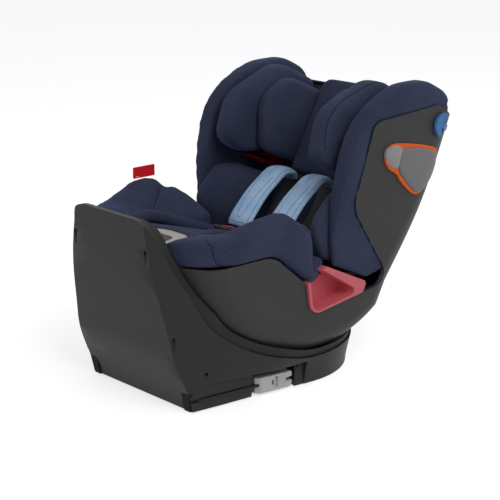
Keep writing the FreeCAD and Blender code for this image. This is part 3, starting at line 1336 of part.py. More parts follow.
def make_handle():
    """The recline handle at the front of the cushion, with its release lever."""
    top = mm.pan_front_z + mm.handle_high
    front = mm.pan_front - 12
    rear = front + mm.handle_length
    side = prism([(front - 5, pan_line(front - 5), 0), (mm.pan_front, mm.pan_front_z, 0),
                  (mm.pan_knee, mm.pan_knee_z, 0), (mm.pan_knee + 40, top - 12, 0),
                  (rear - 20, top, 30), (front - 5, top - 6, 0)], "YZ", -100, 100)
    block = side.common(prism(handle_outline(0), "XY", 200, 400))
    block = block.makeFillet(5, [e for e in block.Edges if e.BoundBox.ZMin > float(top) - 9])
    near = front + 14
    half = mm.finger_half
    hole = prism([(-half, near, 10), (half, near, 10), (half, near + mm.finger_length, 14),
                  (-half, near + mm.finger_length, 14)], "XY", mm.pan_front_z + 3, 400)
    pivot = (near + mm.finger_length - 18, mm.pan_front_z + 7)
    bore = Part.makeCylinder(float(mm.lever_pin + mm.pin_fit), float(2 * half + 12),
                             Vector(float(-half - 6), float(pivot[0]), float(pivot[1])), Vector(1, 0, 0))
    piece(solid("HandleHousing", block.cut(hole).cut(bore)), "handle_housing")
    thick = mm.lever_thick / 2
    plate = prism([(pivot[0] - thick, pivot[1] - thick, 1), (pivot[0] + thick, pivot[1] - thick, 1),
                   (pivot[0] + thick, pivot[1] + mm.lever_high, 2),
                   (pivot[0] - thick, pivot[1] + mm.lever_high, 2)], "YZ", -half + 1, half - 1)
    journal = Part.makeCylinder(float(mm.lever_pin), float(2 * half + 10),
                                Vector(float(-half - 5), float(pivot[0]), float(pivot[1])),
                                Vector(1, 0, 0))
    piece(solid("Lever", plate.fuse(journal).removeSplitter()), "release_lever")


def pan_line(y):
    """Height of the pan's front slope."""
    run = (mm.pan_knee_z - mm.pan_front_z) / (mm.pan_knee - mm.pan_front)
    return mm.pan_front_z + (y - mm.pan_front) * run


def ribbon(path, thick, lift):
    """A strip seen from its edge: a path with rounded corners, lifted off and given a thickness."""
    points = [(float(a), float(b), float(r)) for a, b, r in path]
    low, high = float(lift), float(lift) + float(thick)
    last = len(points) - 1
    sides = []
    for reach in (low, high):
        row = []
        for i, (a, b, radius) in enumerate(points):
            normals = []
            for p, q in ((max(i - 1, 0), max(i, 1)), (min(i, last - 1), min(i + 1, last))):
                da, db = points[q][0] - points[p][0], points[q][1] - points[p][1]
                run = math.hypot(da, db)
                normals.append((-db / run, da / run, da / run, db / run))
            na, nb = normals[0][0] + normals[1][0], normals[0][1] + normals[1][1]
            scale = 2 * reach / (na * na + nb * nb)
            turn = normals[0][2] * normals[1][3] - normals[0][3] * normals[1][2]
            bend = radius - reach if turn > 0 else radius + reach
            row.append((a + na * scale, b + nb * scale, max(bend, 0) if radius else 0))
        sides.append(row)
    return sides[0] + sides[1][::-1]


def strap_path():
    """Where the shoulder straps run: from the back board down to the buckle."""
    slot = mm.back_pad_top + 4.5
    back = mm.pan_back
    lie = -3
    points = [
        (back_point(back + 14, slot), 0), (back_point(lie, slot), 7),
        (back_point(lie - 6, 22), 60), ((mm.hip_y - 90, mm.hip_height + 12), 50),
        ((mm.buckle_y + 54, mm.hip_height + 24.5), 30),
        ((mm.buckle_y + 31, mm.hip_height + 31.1), 0),
    ]
    return [(y, z, r) for (y, z), r in points]


def make_harness():
    """The two shoulder straps with their pads, the crotch strap and the buckle."""
    path = strap_path()
    thick = mm.strap_thick
    for hand in (1, -1):
        side = "R" if hand > 0 else "L"
        tail = "_r" if hand > 0 else "_l"
        middle = hand * mm.strap_place
        low, high = middle - mm.strap_wide / 2, middle + mm.strap_wide / 2
        strap = prism(ribbon(path, thick, 0), "YZ", low, high)
        piece(solid("Strap" + side, strap), "shoulder_strap" + tail)
        half = mm.shoulder_pad_wide / 2
        over = ribbon([(path[1][0] - 6, path[1][1] - 10, 0), *path[2:5],
                       (path[5][0] + 3, path[5][1] - 0.9, 0)], mm.shoulder_pad_thick,
                      -mm.shoulder_pad_thick - mm.soft_gap)
        piece(solid("ShoulderPad" + side, prism(over, "YZ", middle - half, middle + half)),
              "shoulder_pad" + tail)

    y = mm.buckle_y
    wide = mm.strap_wide / 2
    slope = (mm.pan_knee_z + 4 - mm.pan_buckle_z) / (mm.pan_buckle - mm.pan_knee + 10)
    z = mm.pan_buckle_z + mm.cushion_thick + (mm.pan_buckle - y) * slope
    lie = Placement(Vector(0, float(y), float(z)),
                    Rotation(Vector(1, 0, 0), -math.degrees(math.atan(float(slope)))))
    half = mm.buckle_wide / 2
    long_ = mm.buckle_tall / 2
    high = mm.buckle_thick
    base = mm.soft_gap
    block = prism([(-half + 8, -long_, 6), (half - 8, -long_, 6), (half, -long_ + 16, 16),
                   (half, long_, 6), (-half, long_, 6), (-half, -long_ + 16, 16)], "XY", base, high)
    block = block.makeFillet(3, end_edges(block, "XY", (high,)))
    press = mm.button_side / 2
    gap = mm.slide_gap
    room = box_of(-press - gap, -press - gap - 6, high - 9, 2 * (press + gap), 2 * (press + gap), 20)
    slit = box_of(-wide - 0.2, -long_ - 1, 2, 2 * wide + 0.4, 14, thick + 0.4)
    mouth = box_of(-half + 6, 4, high / 2 - 1.6, mm.buckle_wide - 12, 60, 3.2)
    body = block.cut(room).cut(slit).cut(mouth)
    piece(solid("Buckle", placed(body, lie)), "buckle")
    button = box_of(-press, -press - 6, high - 5, 2 * press, 2 * press, 6.5)
    button = button.makeFillet(1.2, end_edges(button, "XY", (high + 1.5,)))
    piece(solid("BuckleButton", placed(button, lie)), "buckle_button")
    reach = mm.strap_place + wide - 2
    blade = half - 7
    tongue = prism([(-blade, 6, 0), (blade, 6, 0), (blade, long_ + 4, 4), (reach, long_ + 8, 4),
                    (reach, long_ + 24, 4), (-reach, long_ + 24, 4), (-reach, long_ + 8, 4),
                    (-blade, long_ + 4, 4)], "XY", high / 2 - 1.3, high / 2 + 1.3)
    piece(solid("Tongue", placed(tongue, lie)), "buckle_tongue")
    strap = prism(ribbon([(-long_ - 10, -10, 0), (-long_ - 4, 2.2, 3), (-long_ + 12, 2.2, 0)],
                         thick, 0), "YZ", -wide, wide)
    piece(solid("CrotchStrap", placed(strap, lie)), "crotch_strap")


def make_tag():
    """The red tag sewn to the far thigh bolster."""
    x = mm.thigh_outer - 14
    tag = prism([(mm.thigh_crest_y - mm.tag_long / 2, mm.thigh_crest - 8, 0),
                 (mm.thigh_crest_y + mm.tag_long / 2, mm.thigh_crest - 8, 0),
                 (mm.thigh_crest_y + mm.tag_long / 2, mm.thigh_crest + mm.tag_high, 2),
                 (mm.thigh_crest_y - mm.tag_long / 2, mm.thigh_crest + mm.tag_high, 2)],
                "YZ", -x - 1.5, -x)
    piece(cut("Tag", solid("TagBlank", tag), doc.getObject("ThighL")), "side_tag")


make_base()
make_tray()
make_turntable()
make_rails()
shell_outer, shell_inner, side_keep = make_shell()
make_pan(shell_inner)
make_cushion()
make_thigh_bolster()
make_torso_bolster()
make_back_pad()
make_wing(side_keep)
make_headrest()
make_guards()
make_hooks()
make_lower_guides()
make_handle()
make_harness()
make_tag()
make_connector(1)
make_connector(-1)

# ---------------------------------------------------------------- write the files


def check_document():
    """Stop if any feature failed or any piece is empty or broken."""
    doc.recompute()
    bad = [o.Name for o in doc.Objects if "Invalid" in o.State or "Error" in o.State]
    if bad:
        raise RuntimeError("failed features: " + ", ".join(bad))
    for obj in PIECES:
        if obj.Shape.isNull() or not obj.Shape.isValid() or not obj.Shape.Solids:
            raise RuntimeError("broken piece: " + obj.Label)


def write_pieces():
    os.makedirs("parts", exist_ok=True)
    for obj in PIECES:
        obj.Shape.exportStep(os.path.join("parts", obj.Label + ".step"))
        print(f"{obj.Label}: {len(obj.Shape.Solids)} solids, {obj.Shape.Volume / 1000:.1f} cm3")


check_document()
write_pieces()
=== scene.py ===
"""A convertible car seat on a swivelling ISOFIX base, dressed in its real finishes."""
import math

import bmesh
import bpy
import numpy as np
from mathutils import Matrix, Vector
from mathutils.bvhtree import BVHTree
from mathutils.kdtree import KDTree


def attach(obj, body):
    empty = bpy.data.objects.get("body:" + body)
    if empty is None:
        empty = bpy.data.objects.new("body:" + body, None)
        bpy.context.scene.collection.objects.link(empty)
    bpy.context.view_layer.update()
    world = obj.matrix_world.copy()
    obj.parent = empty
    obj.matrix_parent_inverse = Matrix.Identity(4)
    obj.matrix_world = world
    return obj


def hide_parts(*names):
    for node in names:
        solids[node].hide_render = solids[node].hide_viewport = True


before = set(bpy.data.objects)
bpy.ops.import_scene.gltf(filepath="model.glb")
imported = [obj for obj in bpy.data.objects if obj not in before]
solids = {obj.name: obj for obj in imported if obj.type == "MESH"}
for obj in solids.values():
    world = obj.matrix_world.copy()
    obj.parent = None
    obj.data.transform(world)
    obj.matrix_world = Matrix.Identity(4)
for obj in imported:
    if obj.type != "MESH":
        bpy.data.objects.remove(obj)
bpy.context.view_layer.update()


# ---- Room: a white floor under soft daylight --------------------------------------------------
# The seat stands on a plain white floor in an evenly lit room, with one large lamp over the
# viewer's right shoulder. The camera looks down on it a little, from the front and the left.

camera_data = bpy.data.cameras.new("camera")
camera_data.lens = 109.15
camera_data.sensor_width = 36.0
camera_data.clip_end = 100.0
camera = bpy.data.objects.new("camera", camera_data)
camera.location = (2.0909, -1.9180, 1.0282)
camera.rotation_euler = (math.radians(90 - 15.9), 0.0, math.radians(47.66))
bpy.context.scene.collection.objects.link(camera)
bpy.context.scene.camera = camera
bpy.context.scene.view_settings.view_transform = "Standard"


def linear(colour):
    """sRGB hex as linear RGBA: c / 12.92 up to 0.04045, above it ((c + 0.055) / 1.055) ^ 2.4."""
    c = np.array([int(colour[i:i + 2], 16) / 255 for i in (1, 3, 5)])
    c = np.where(c <= 0.04045, c / 12.92, ((c + 0.055) / 1.055) ** 2.4)
    return (*[float(v) for v in c], 1.0)


def add(tree, kind, inputs=None, **settings):
    """Add a shader node: settings are its properties, inputs are values or other nodes' outputs."""
    node = tree.nodes.new("ShaderNode" + kind)
    for key, value in settings.items():
        setattr(node, key, value)
    for key, value in (inputs or {}).items():
        if isinstance(value, bpy.types.NodeSocket):
            tree.links.new(value, node.inputs[key])
        else:
            node.inputs[key].default_value = value
    return node


def blank(name):
    """A new material with an empty node tree."""
    material = bpy.data.materials.new(name)
    material.use_nodes = True
    material.node_tree.nodes.clear()
    return material, material.node_tree


def seen_directly(tree):
    """1 on rays from the camera, from a mirror finish or through glass, and 0 on all others."""
    path = add(tree, "LightPath")
    either = add(tree, "Math", {0: path.outputs["Is Camera Ray"], 1: path.outputs["Is Glossy Ray"]},
                 operation="MAXIMUM")
    return add(tree, "Math", {0: either.outputs[0], 1: path.outputs["Is Transmission Ray"]},
               operation="MAXIMUM").outputs[0]


world = bpy.data.worlds.new("daylight")
world.use_nodes = True
tree = world.node_tree
tree.nodes.clear()
room = add(tree, "Background", {"Color": linear("#FAFAFF"), "Strength": 0.36})
backdrop = add(tree, "Background", {"Color": (1, 1, 1, 1), "Strength": 1.0})
both = add(tree, "MixShader", {0: seen_directly(tree), 1: room.outputs[0], 2: backdrop.outputs[0]})
add(tree, "OutputWorld", {"Surface": both.outputs[0]})
bpy.context.scene.world = world

for name, place, aim, size, power in (
        ("key", (2.4, -0.7, 2.5), (0.0, 0.0, 0.3), 1.7, 29.0),
        ("fill", (-2.4, -2.0, 1.9), (0.0, -0.1, 0.2), 2.2, 5.5),
        ("back", (0.4, 2.6, 2.2), (0.0, 0.1, 0.3), 1.8, 11.0)):
    lamp_data = bpy.data.lights.new(name, "AREA")
    lamp_data.size = size
    lamp_data.energy = power
    lamp = bpy.data.objects.new(name, lamp_data)
    lamp.location = place
    lamp.rotation_euler = (Vector(aim) - Vector(place)).to_track_quat("-Z", "Y").to_euler()
    bpy.context.scene.collection.objects.link(lamp)

floor_mesh = bpy.data.meshes.new("floor")
floor_mesh.from_pydata([(-14, -14, 0), (14, -14, 0), (14, 14, 0), (-14, 14, 0)], [], [(0, 1, 2, 3)])
floor = bpy.data.objects.new("floor", floor_mesh)
bpy.context.scene.collection.objects.link(floor)
# White painted board: it scatters light evenly and takes the seat's soft shadow.
material, tree = blank("white painted board")
paint = add(tree, "BsdfDiffuse", {"Color": linear("#F2F2F2")})
glow = add(tree, "Emission", {"Color": (1, 1, 1, 1), "Strength": 0.62})
lit = add(tree, "AddShader", {0: paint.outputs[0], 1: glow.outputs[0]})
shown = add(tree, "MixShader", {0: seen_directly(tree), 1: paint.outputs[0], 2: lit.outputs[0]})
add(tree, "OutputMaterial", {"Surface": shown.outputs[0]})
floor_mesh.materials.append(material)


# ---- Base: housing, bowl and tray -------------------------------------------------------------
# The base is an injection-moulded housing of grained dark plastic with a tall front panel. A
# bowl screwed inside it carries the turning seat, and a flat tray closes it underneath.

def moulded(name, colour, rough, grain, depth, mottle=0.10):
    """An injection-moulded plastic: a fine spark-eroded grain of the given size in metres, a slow
    change of tone over about 9 cm, and a rougher, paler look where hands and straps rub it."""
    material, tree = blank(name)
    place = add(tree, "TexCoord").outputs["Object"]
    slow = add(tree, "TexNoise", {"Vector": place, "Scale": 11.0, "Detail": 3.0})
    grit = add(tree, "TexNoise", {"Vector": place, "Scale": 1.0 / grain, "Detail": 2.0,
                                  "Roughness": 0.6})
    tone = linear(colour)
    dark = tuple(c * (1 - mottle) for c in tone[:3]) + (1.0,)
    pale = tuple(min(c * (1 + mottle), 1.0) for c in tone[:3]) + (1.0,)
    hue = add(tree, "Mix", {"Factor": slow.outputs[0], 6: dark, 7: pale}, data_type="RGBA")
    fine = add(tree, "MapRange", {"Value": grit.outputs[0], "From Min": 0.3, "From Max": 0.7,
                                  "To Min": rough - 0.06, "To Max": rough + 0.08})
    bump = add(tree, "Bump", {"Height": grit.outputs[0], "Strength": 0.25, "Distance": depth})
    skin = add(tree, "BsdfPrincipled", {
        "Base Color": hue.outputs[2], "Roughness": fine.outputs[0], "Normal": bump.outputs[0],
        "IOR": 1.5, "Specular IOR Level": 0.24})
    add(tree, "OutputMaterial", {"Surface": skin.outputs[0]})
    return material


def merged(node):
    """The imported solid's loose triangles as one closed mesh, with flat facets joined again."""
    mesh = bmesh.new()
    mesh.from_mesh(solids[node].data)
    bmesh.ops.remove_doubles(mesh, verts=mesh.verts, dist=2e-5)
    bmesh.ops.dissolve_limit(mesh, angle_limit=math.radians(0.6), verts=mesh.verts,
                             edges=mesh.edges)
    return mesh


def in_scene(name, mesh, body, material):
    """Put a finished mesh in the scene as a piece that rides on a body."""
    piece = bpy.data.objects.new(name, mesh)
    bpy.context.scene.collection.objects.link(piece)
    mesh.materials.clear()
    mesh.materials.append(material)
    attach(piece, body)
    return piece


def hard_piece(name, node, body, material, edge=0.0010, crease=30.0):
    """A rigid piece with its arrises rounded by edge, and smooth where it turns under crease."""
    shape = merged(node)
    mesh = bpy.data.meshes.new(name)
    shape.to_mesh(mesh)
    shape.free()
    piece = in_scene(name, mesh, body, material)
    mesh.shade_smooth()
    mesh.set_sharp_from_angle(angle=math.radians(crease))
    if edge:
        bevel = piece.modifiers.new("rounded_arrises", "BEVEL")
        bevel.width = edge
        bevel.segments = 2
        bevel.limit_method = "ANGLE"
        bevel.angle_limit = math.radians(crease)
        bevel.harden_normals = True
    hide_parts(node)
    return piece


# Polypropylene with a fine grain, mass-coloured near black: matt, with a soft broad sheen.
base_plastic = moulded("grained polypropylene", "#2A2A2A", 0.50, 0.0011, 0.00010)
bowl_plastic = moulded("plain polypropylene", "#262626", 0.62, 0.0016, 0.00010)


def surface_of(nodes):
    """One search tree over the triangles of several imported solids."""
    points, faces = [], []
    for node in nodes:
        mesh = solids[node].data
        start = len(points)
        points += [v.co.copy() for v in mesh.vertices]
        faces += [[start + i for i in p.vertices] for p in mesh.polygons]
    return BVHTree.FromPolygons(points, faces)


def rings(name, centres, radii, across, over):
    """A closed form through rings: centre + radius (cos a * across + sin a * over), capped."""
    centres, radii = np.asarray(centres, float), np.asarray(radii, float)
    a = np.linspace(0, 2 * np.pi, 16, endpoint=False)
    ring = centres[:, None] + radii[:, None, None] * (
        np.cos(a)[None, :, None] * across + np.sin(a)[None, :, None] * over)
    i, j = np.meshgrid(np.arange(len(centres) - 1), np.arange(16), indexing="ij")
    after = (j + 1) % 16
    faces = np.stack([i * 16 + j, i * 16 + after, (i + 1) * 16 + after, (i + 1) * 16 + j], -1)
    last = 16 * (len(centres) - 1)
    faces = faces.reshape(-1, 4).tolist() + [list(range(16))[::-1], list(range(last, last + 16))]
    mesh = bpy.data.meshes.new(name)
    mesh.from_pydata(ring.reshape(-1, 3).tolist(), [], faces)
    shape = bmesh.new()
    shape.from_mesh(mesh)
    bmesh.ops.recalc_face_normals(shape, faces=shape.faces)
    shape.to_mesh(mesh)
    shape.free()
    mesh.shade_smooth()
    mesh.set_sharp_from_angle(angle=math.radians(40))
    return mesh


# The housing's halves are screwed together from outside. Each screw sits deep at the head of a
# drop-shaped dish, whose tail runs out downwards: depth (1 - t), radius from 4.6 mm to 1 mm.
screw_steel = moulded("blackened screw steel", "#2E2E30", 0.35, 0.0010, 0.00002, 0.1)
housing = hard_piece("housing", "base_shell", "base", base_plastic, 0.0012)
faces_out = surface_of(["base_shell"])
screws = [((way * x, -0.6, z), (0, 1, 0), 0.026) for way in (1, -1)
          for x, z in ((0.102, 0.303), (0.138, 0.145))]
screws += [((way * 0.4, y, z), (-way, 0, 0), 0.012) for way in (1, -1)
           for y, z in ((-0.2605, 0.0704), (-0.0520, 0.0450))]
dishes = []
for number, (source, aim, tail) in enumerate(screws):
    hit, out = faces_out.ray_cast(Vector(source), Vector(aim))[:2]
    if hit is None:
        continue
    out = np.array(out) if Vector(out).dot(Vector(aim)) < 0 else -np.array(out)
    level = np.cross(out, (0.0, 0.0, 1.0))
    level /= np.linalg.norm(level)
    down = np.cross(out, level)
    down = down if down[2] < 0 else -down
    t = np.linspace(0.0, 1.0, 9)[:, None]
    radius = 0.0046 * (1 - t) + 0.0010 * t
    centre = np.array(hit) + down * tail * t + out * (radius - 0.0050 * (1 - t))
    head = np.array(hit) + down * -0.0001 - out * 0.0050
    well = np.vstack([head - out * 0.0010, head + out * 0.0090])
    for label, mesh in (
            ("dish", rings("dish", centre, radius[:, 0], level, out)),
            ("well", rings("well", well, [0.0042, 0.0042], level, down))):
        cutter = bpy.data.objects.new(f"{label}_{number}", mesh)
        bpy.context.scene.collection.objects.link(cutter)
        dishes.append(cutter)
    screw = rings(f"screw_{number}", head + out * np.array([[-0.0008], [0.0006], [0.0012], [0.0012],
                                                            [0.0004]]),
                  [0.0038, 0.0038, 0.0030, 0.0014, 0.0013], level, down)
    in_scene(f"housing_screw_{number}", screw, "base", screw_steel)
for number, cutter in enumerate(dishes):
    cut = housing.modifiers.new(f"dish_{number}", "BOOLEAN")
    cut.operation = "DIFFERENCE"
    cut.solver = "EXACT"
    cut.object = cutter
housing.modifiers.move(0, len(housing.modifiers) - 1)
finished = bpy.data.meshes.new_from_object(
    housing.evaluated_get(bpy.context.evaluated_depsgraph_get()))
housing.modifiers.clear()
housing.data = finished
for cutter in dishes:
    bpy.data.objects.remove(cutter)
hard_piece("bowl", "bowl_liner", "base", bowl_plastic)
hard_piece("tray", "base_tray", "base", bowl_plastic)


# A near-black block in the feet's rubber fills the slot at the foot of each front corner. It is
# painted shade, standing in for the shade in that slot.
# Each has eight corners, sloped as the panel leans, with worn round edges.
rubber_and_notch_shade = moulded("moulded rubber and painted notch shade", "#141414", 0.82, 0.0015, 0.0002, 0.2)
for side, way in (("r", 1), ("l", -1)):
    z = np.array([1.0, 38.6])[:, None]
    x = np.hstack([143.0 + 0.10 * z, 143.0 + 0.10 * z, 124.0 + 0 * z, 124.0 + 0 * z])
    y = -287.5 - 0.19 * z + np.array([0.0, 20.0, 20.0, 0.0])
    corner = np.stack([way * x, y, np.repeat(z, 4, 1)], -1).reshape(-1, 3) / 1000
    block = bmesh.new()
    points = [block.verts.new(tuple(p)) for p in corner]
    bmesh.ops.convex_hull(block, input=points)
    bmesh.ops.bevel(block, geom=block.edges, offset=0.0012, segments=2, affect="EDGES")
    bmesh.ops.recalc_face_normals(block, faces=block.faces)
    mesh = bpy.data.meshes.new("notch_shade_block_" + side)
    block.to_mesh(mesh)
    block.free()
    in_scene("notch_shade_block_" + side, mesh, "base", rubber_and_notch_shade)


# ---- Base: feet -------------------------------------------------------------------------------
# Soft rubber feet are pressed into the tray, so the base neither slides nor marks the car seat.

hard_piece("feet", "rubber_feet", "base", rubber_and_notch_shade, 0.0006)


# ---- Turntable and recline rails --------------------------------------------------------------
# The seat turns on a ring with a hub through the bowl, and leans back on two curved rails.

# Acetal rails and ring: smooth, a little waxy, rubbed bright by sliding.
slide_plastic = moulded("smooth acetal", "#2A2A2A", 0.38, 0.0030, 0.00005)
hard_piece("turning_ring", "turntable", "turntable", slide_plastic)
hard_piece("ring_keeper", "turntable_keeper", "turntable", slide_plastic, 0.0006)
hard_piece("rails", "recline_rails", "seat", slide_plastic, 0.0006)


# ---- ISOFIX connectors ------------------------------------------------------------------------
# Two flat coated steel arms fold into the base's sides. Each ends in a pale plastic head with a
# hook that closes on the car's anchor bar and a slide that lets it go.

# Grained light nylon over the head, electro-coated steel for the arm, bracket, pin and hook.
head_nylon = moulded("light grained nylon", "#CBCBCB", 0.42, 0.0012, 0.00006, 0.05)
window_red = moulded("dark red acetal", "#8A1420", 0.35, 0.0020, 0.00002, 0.05)
coated_steel = moulded("electro-coated steel", "#1D1D1F", 0.34, 0.0008, 0.00003, 0.2)
for side in ("r", "l"):
    for part, body in (("arm", "connector_"), ("bracket", None), ("pin", None), ("hook", "jaw_")):
        hard_piece(f"connector_{part}_{side}", f"isofix_{part}_{side}",
                   body + side if body else "base", coated_steel, 0.0004)
    # A dark red window shows whether the hook has closed; fine ribs beside it give a grip.
    hard_piece("connector_head_" + side, "isofix_head_" + side, "connector_" + side,
               head_nylon, 0.0007)
    hard_piece("connector_slide_" + side, "isofix_release_" + side, "release_" + side,
               head_nylon, 0.0005)
    way = 1 if side == "r" else -1
    face = surface_of(["isofix_head_" + side]).ray_cast(Vector((way * 0.4, -0.1115, 0.0225)),
                                                        Vector((-way, 0, 0)))[0]
    pane = bmesh.new()
    bmesh.ops.create_cube(pane, size=1.0)
    for corner in pane.verts:
        x, y, z = corner.co.x * 0.0016, corner.co.y * 0.0032, corner.co.z * 0.0090
        corner.co = (face.x + x + way * 0.117 * y, face.y + y, face.z + z)
    bmesh.ops.bevel(pane, geom=pane.edges, offset=0.0003, segments=2, affect="EDGES")
    mesh = bpy.data.meshes.new("hook_window_" + side)
    pane.to_mesh(mesh)
    pane.free()
    in_scene("hook_window_" + side, mesh, "connector_" + side, window_red)


# ---- Seat shell and inner pan -----------------------------------------------------------------
# The shell is one deep moulding, a ball below and a raised back with smooth grey cheeks. The pan
# inside it carries the padding.

shell_plastic = moulded("satin grained polypropylene", "#393938", 0.52, 0.0011, 0.00010)
shell = hard_piece("shell", "seat_shell", "seat", shell_plastic, 0.0008)
hard_piece("pan", "seat_pan", "seat", bowl_plastic, 0.0)


# ---- Side guards ------------------------------------------------------------------------------
# A grey cap on each side springs out as a crash bumper. A thin orange frame round it shows when
# it is out.

guard_plastic = moulded("satin ABS", "#7C7C7D", 0.36, 0.0020, 0.00003, 0.05)
# The lobe is moulded in one piece with the cap. Its paler grey is a painted highlight for the light
# it catches at its different angle.
lobe_painted_highlight = moulded("satin ABS with painted highlight", "#9A9A98", 0.34, 0.0020, 0.00003, 0.05)
frame_plastic = moulded("orange ABS", "#E8641B", 0.40, 0.0020, 0.00003, 0.06)
LEAN = math.radians(28.5)


def on_back(points):
    """Points x, v, u of the backrest, v behind and u up along it, in mm, as points x, y, z in m."""
    x, v, u = np.asarray(points, float).T
    y = 100 + v * math.cos(LEAN) + u * math.sin(LEAN)
    z = 232 - v * math.sin(LEAN) + u * math.cos(LEAN)
    return np.stack([x, y, z], 1) / 1000


def flowing(corners, count):
    """A curve through the corners: on each span the Catmull-Rom cubic of the four nearest."""
    c = np.asarray(corners, float)
    c = np.vstack([2 * c[0] - c[1], c, 2 * c[-1] - c[-2]])
    t = np.linspace(0, len(c) - 3 - 1e-9, count)
    i = t.astype(int)
    s = (t - i)[:, None]
    a, b, d, e = c[i], c[i + 1], c[i + 2], c[i + 3]
    return 0.5 * (2 * b + (d - a) * s + (2 * a - 5 * b + 4 * d - e) * s ** 2
                  + (3 * b - a - 3 * d + e) * s ** 3)


def domed(name, outline, way, low, high, crown, turn=3.0):
    """A pad-shaped cover on the cheek: rings of a closed outline v, u stand low above the shell,
    turn inwards on a quarter circle of radius turn up to high, and swell by crown to the middle."""
    c = np.asarray(outline, float)
    ring = flowing(np.vstack([c, c[:1]]), 64)[:-1]
    ring = (np.roll(ring, 1, 0) + 2 * ring + np.roll(ring, -1, 0)) / 4
    middle = (ring.max(0) + ring.min(0)) / 2
    reach = np.linalg.norm(ring - middle, axis=1)[:, None]
    a = np.linspace(0, np.pi / 2, 5)
    inset = np.concatenate([[0.0], turn * (1 - np.cos(a))])
    lift = np.concatenate([[low], high - turn + turn * np.sin(a)])
    rows = [middle + (ring - middle) * (1 - d / reach) for d in inset]
    for share in (0.8, 0.6, 0.4, 0.2, 0.04):
        rows.append(middle + (rows[5] - middle) * share)
        lift = np.append(lift, high + crown * (1 - share ** 2))
    shell = surface_of(["seat_shell"])
    flat = np.vstack(rows)
    away = on_back(np.column_stack([np.full(len(flat), way * 400.0), flat]))
    near = [shell.ray_cast(Vector(p), Vector((-way, 0, 0)))[0] for p in away]
    x = np.array([h[0] if h else np.nan for h in near])
    ahead = [shell.ray_cast(Vector(p), Vector((-way, 0, 0)))[0] for p in on_back(
        np.column_stack([np.full(len(ring), way * 400.0), ring - np.array([26.0, 0.0])]))]
    face = max([way * h[0] for h in ahead if h] + [float(np.nanmax(way * x))])
    x = np.where(np.isnan(x) | (way * x < face - 0.012), way * face, x)
    away[:, 0] = x + way * np.repeat(lift, len(ring)) / 1000
    count, sides = len(rows), len(ring)
    i, j = np.meshgrid(np.arange(count - 1), np.arange(sides), indexing="ij")
    after = (j + 1) % sides
    faces = np.stack([i * sides + j, i * sides + after, (i + 1) * sides + after,
                      (i + 1) * sides + j], -1).reshape(-1, 4).tolist()
    faces += [list(range(sides))[::-1], list(range((count - 1) * sides, count * sides))]
    mesh = bpy.data.meshes.new(name)
    mesh.from_pydata(away.tolist(), [], faces)
    shape = bmesh.new()
    shape.from_mesh(mesh)
    bmesh.ops.recalc_face_normals(shape, faces=shape.faces)
    shape.to_mesh(mesh)
    shape.free()
    mesh.shade_smooth()
    mesh.set_sharp_from_angle(angle=math.radians(50))
    return mesh


for side, way in (("r", 1), ("l", -1)):
    cap = in_scene("guard_cap_" + side, domed("guard_cap_" + side, [
        (-34, 208), (0, 224), (43, 236), (62, 234), (72, 215), (73, 186), (60, 158), (40, 151),
        (-2, 162), (-20, 171), (-30, 186)], way, 0.4, 10.5, 2.5, 4.0),
        "guard_" + side, guard_plastic)
    in_scene("guard_lobe_" + side, domed("guard_lobe_" + side, [
        (-28, 210), (-46, 211), (-62, 204), (-70, 192), (-66, 179), (-54, 171), (-36, 168),
        (-24, 172), (-22, 190)], way, 0.4, 8.0, 3.0, 5.0),
        "guard_" + side, lobe_painted_highlight)
    shaft = np.array([[way * 0.182, 0, 0], [way * 0.216, 0, 0]]) + on_back([(0, 0, 190)])
    in_scene("guard_stem_" + side, rings("guard_stem", shaft, [0.015, 0.015],
                                         np.array([0.0, 1.0, 0.0]), np.array([0.0, 0.0, 1.0])),
             "guard_" + side, guard_plastic)
    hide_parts("side_guard_" + side)
    edge = in_scene("guard_frame_" + side, domed("guard_frame_" + side, [
        (-60, 208), (-41, 217), (0, 231), (47, 244), (68, 241), (72, 215), (73, 186), (62, 152),
        (40, 145), (-4, 155), (-18, 162), (-42, 163), (-60, 171), (-66, 182), (-67, 198)],
        way, 0.3, 5.0, 0.4, 1.5), "guard_" + side, frame_plastic)
    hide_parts("guard_frame_" + side)


# ---- Belt hooks and lower belt guides ---------------------------------------------------------
# The car's belt runs under a blue hook at the top of the shell, and through a red guide under
# each cheek.

hook_plastic = moulded("blue nylon", "#4A7DBB", 0.40, 0.0020, 0.00003, 0.06)
guide_plastic = moulded("red polypropylene", "#DA6A76", 0.42, 0.0020, 0.00004, 0.06)
for side, way in (("r", 1), ("l", -1)):
    blade = in_scene("top_hook_" + side, domed("top_hook_" + side, [
        (50, 314), (40, 306), (34, 292), (37, 278), (48, 268), (58, 268), (54, 279), (53, 291),
        (54, 303), (58, 311)], way, 2.0, 8.5, 0.3, 1.5), "seat", hook_plastic)
    in_scene("hook_bar_" + side, domed("hook_bar_" + side, [
        (40, 296), (50, 295), (64, 297), (80, 298), (80, 287), (64, 286), (50, 288), (40, 287)],
        way, 0.3, 4.5, 0.2, 1.2), "seat", hook_plastic)
    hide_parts("belt_hook_" + side)
    hard_piece("lap_guide_" + side, "lower_belt_guide_" + side, "seat",
               guide_plastic, 0.0012)


# ---- Seat cushion -----------------------------------------------------------------------------
# A foam cushion in a knitted navy cover fills the pan between the thigh bolsters.

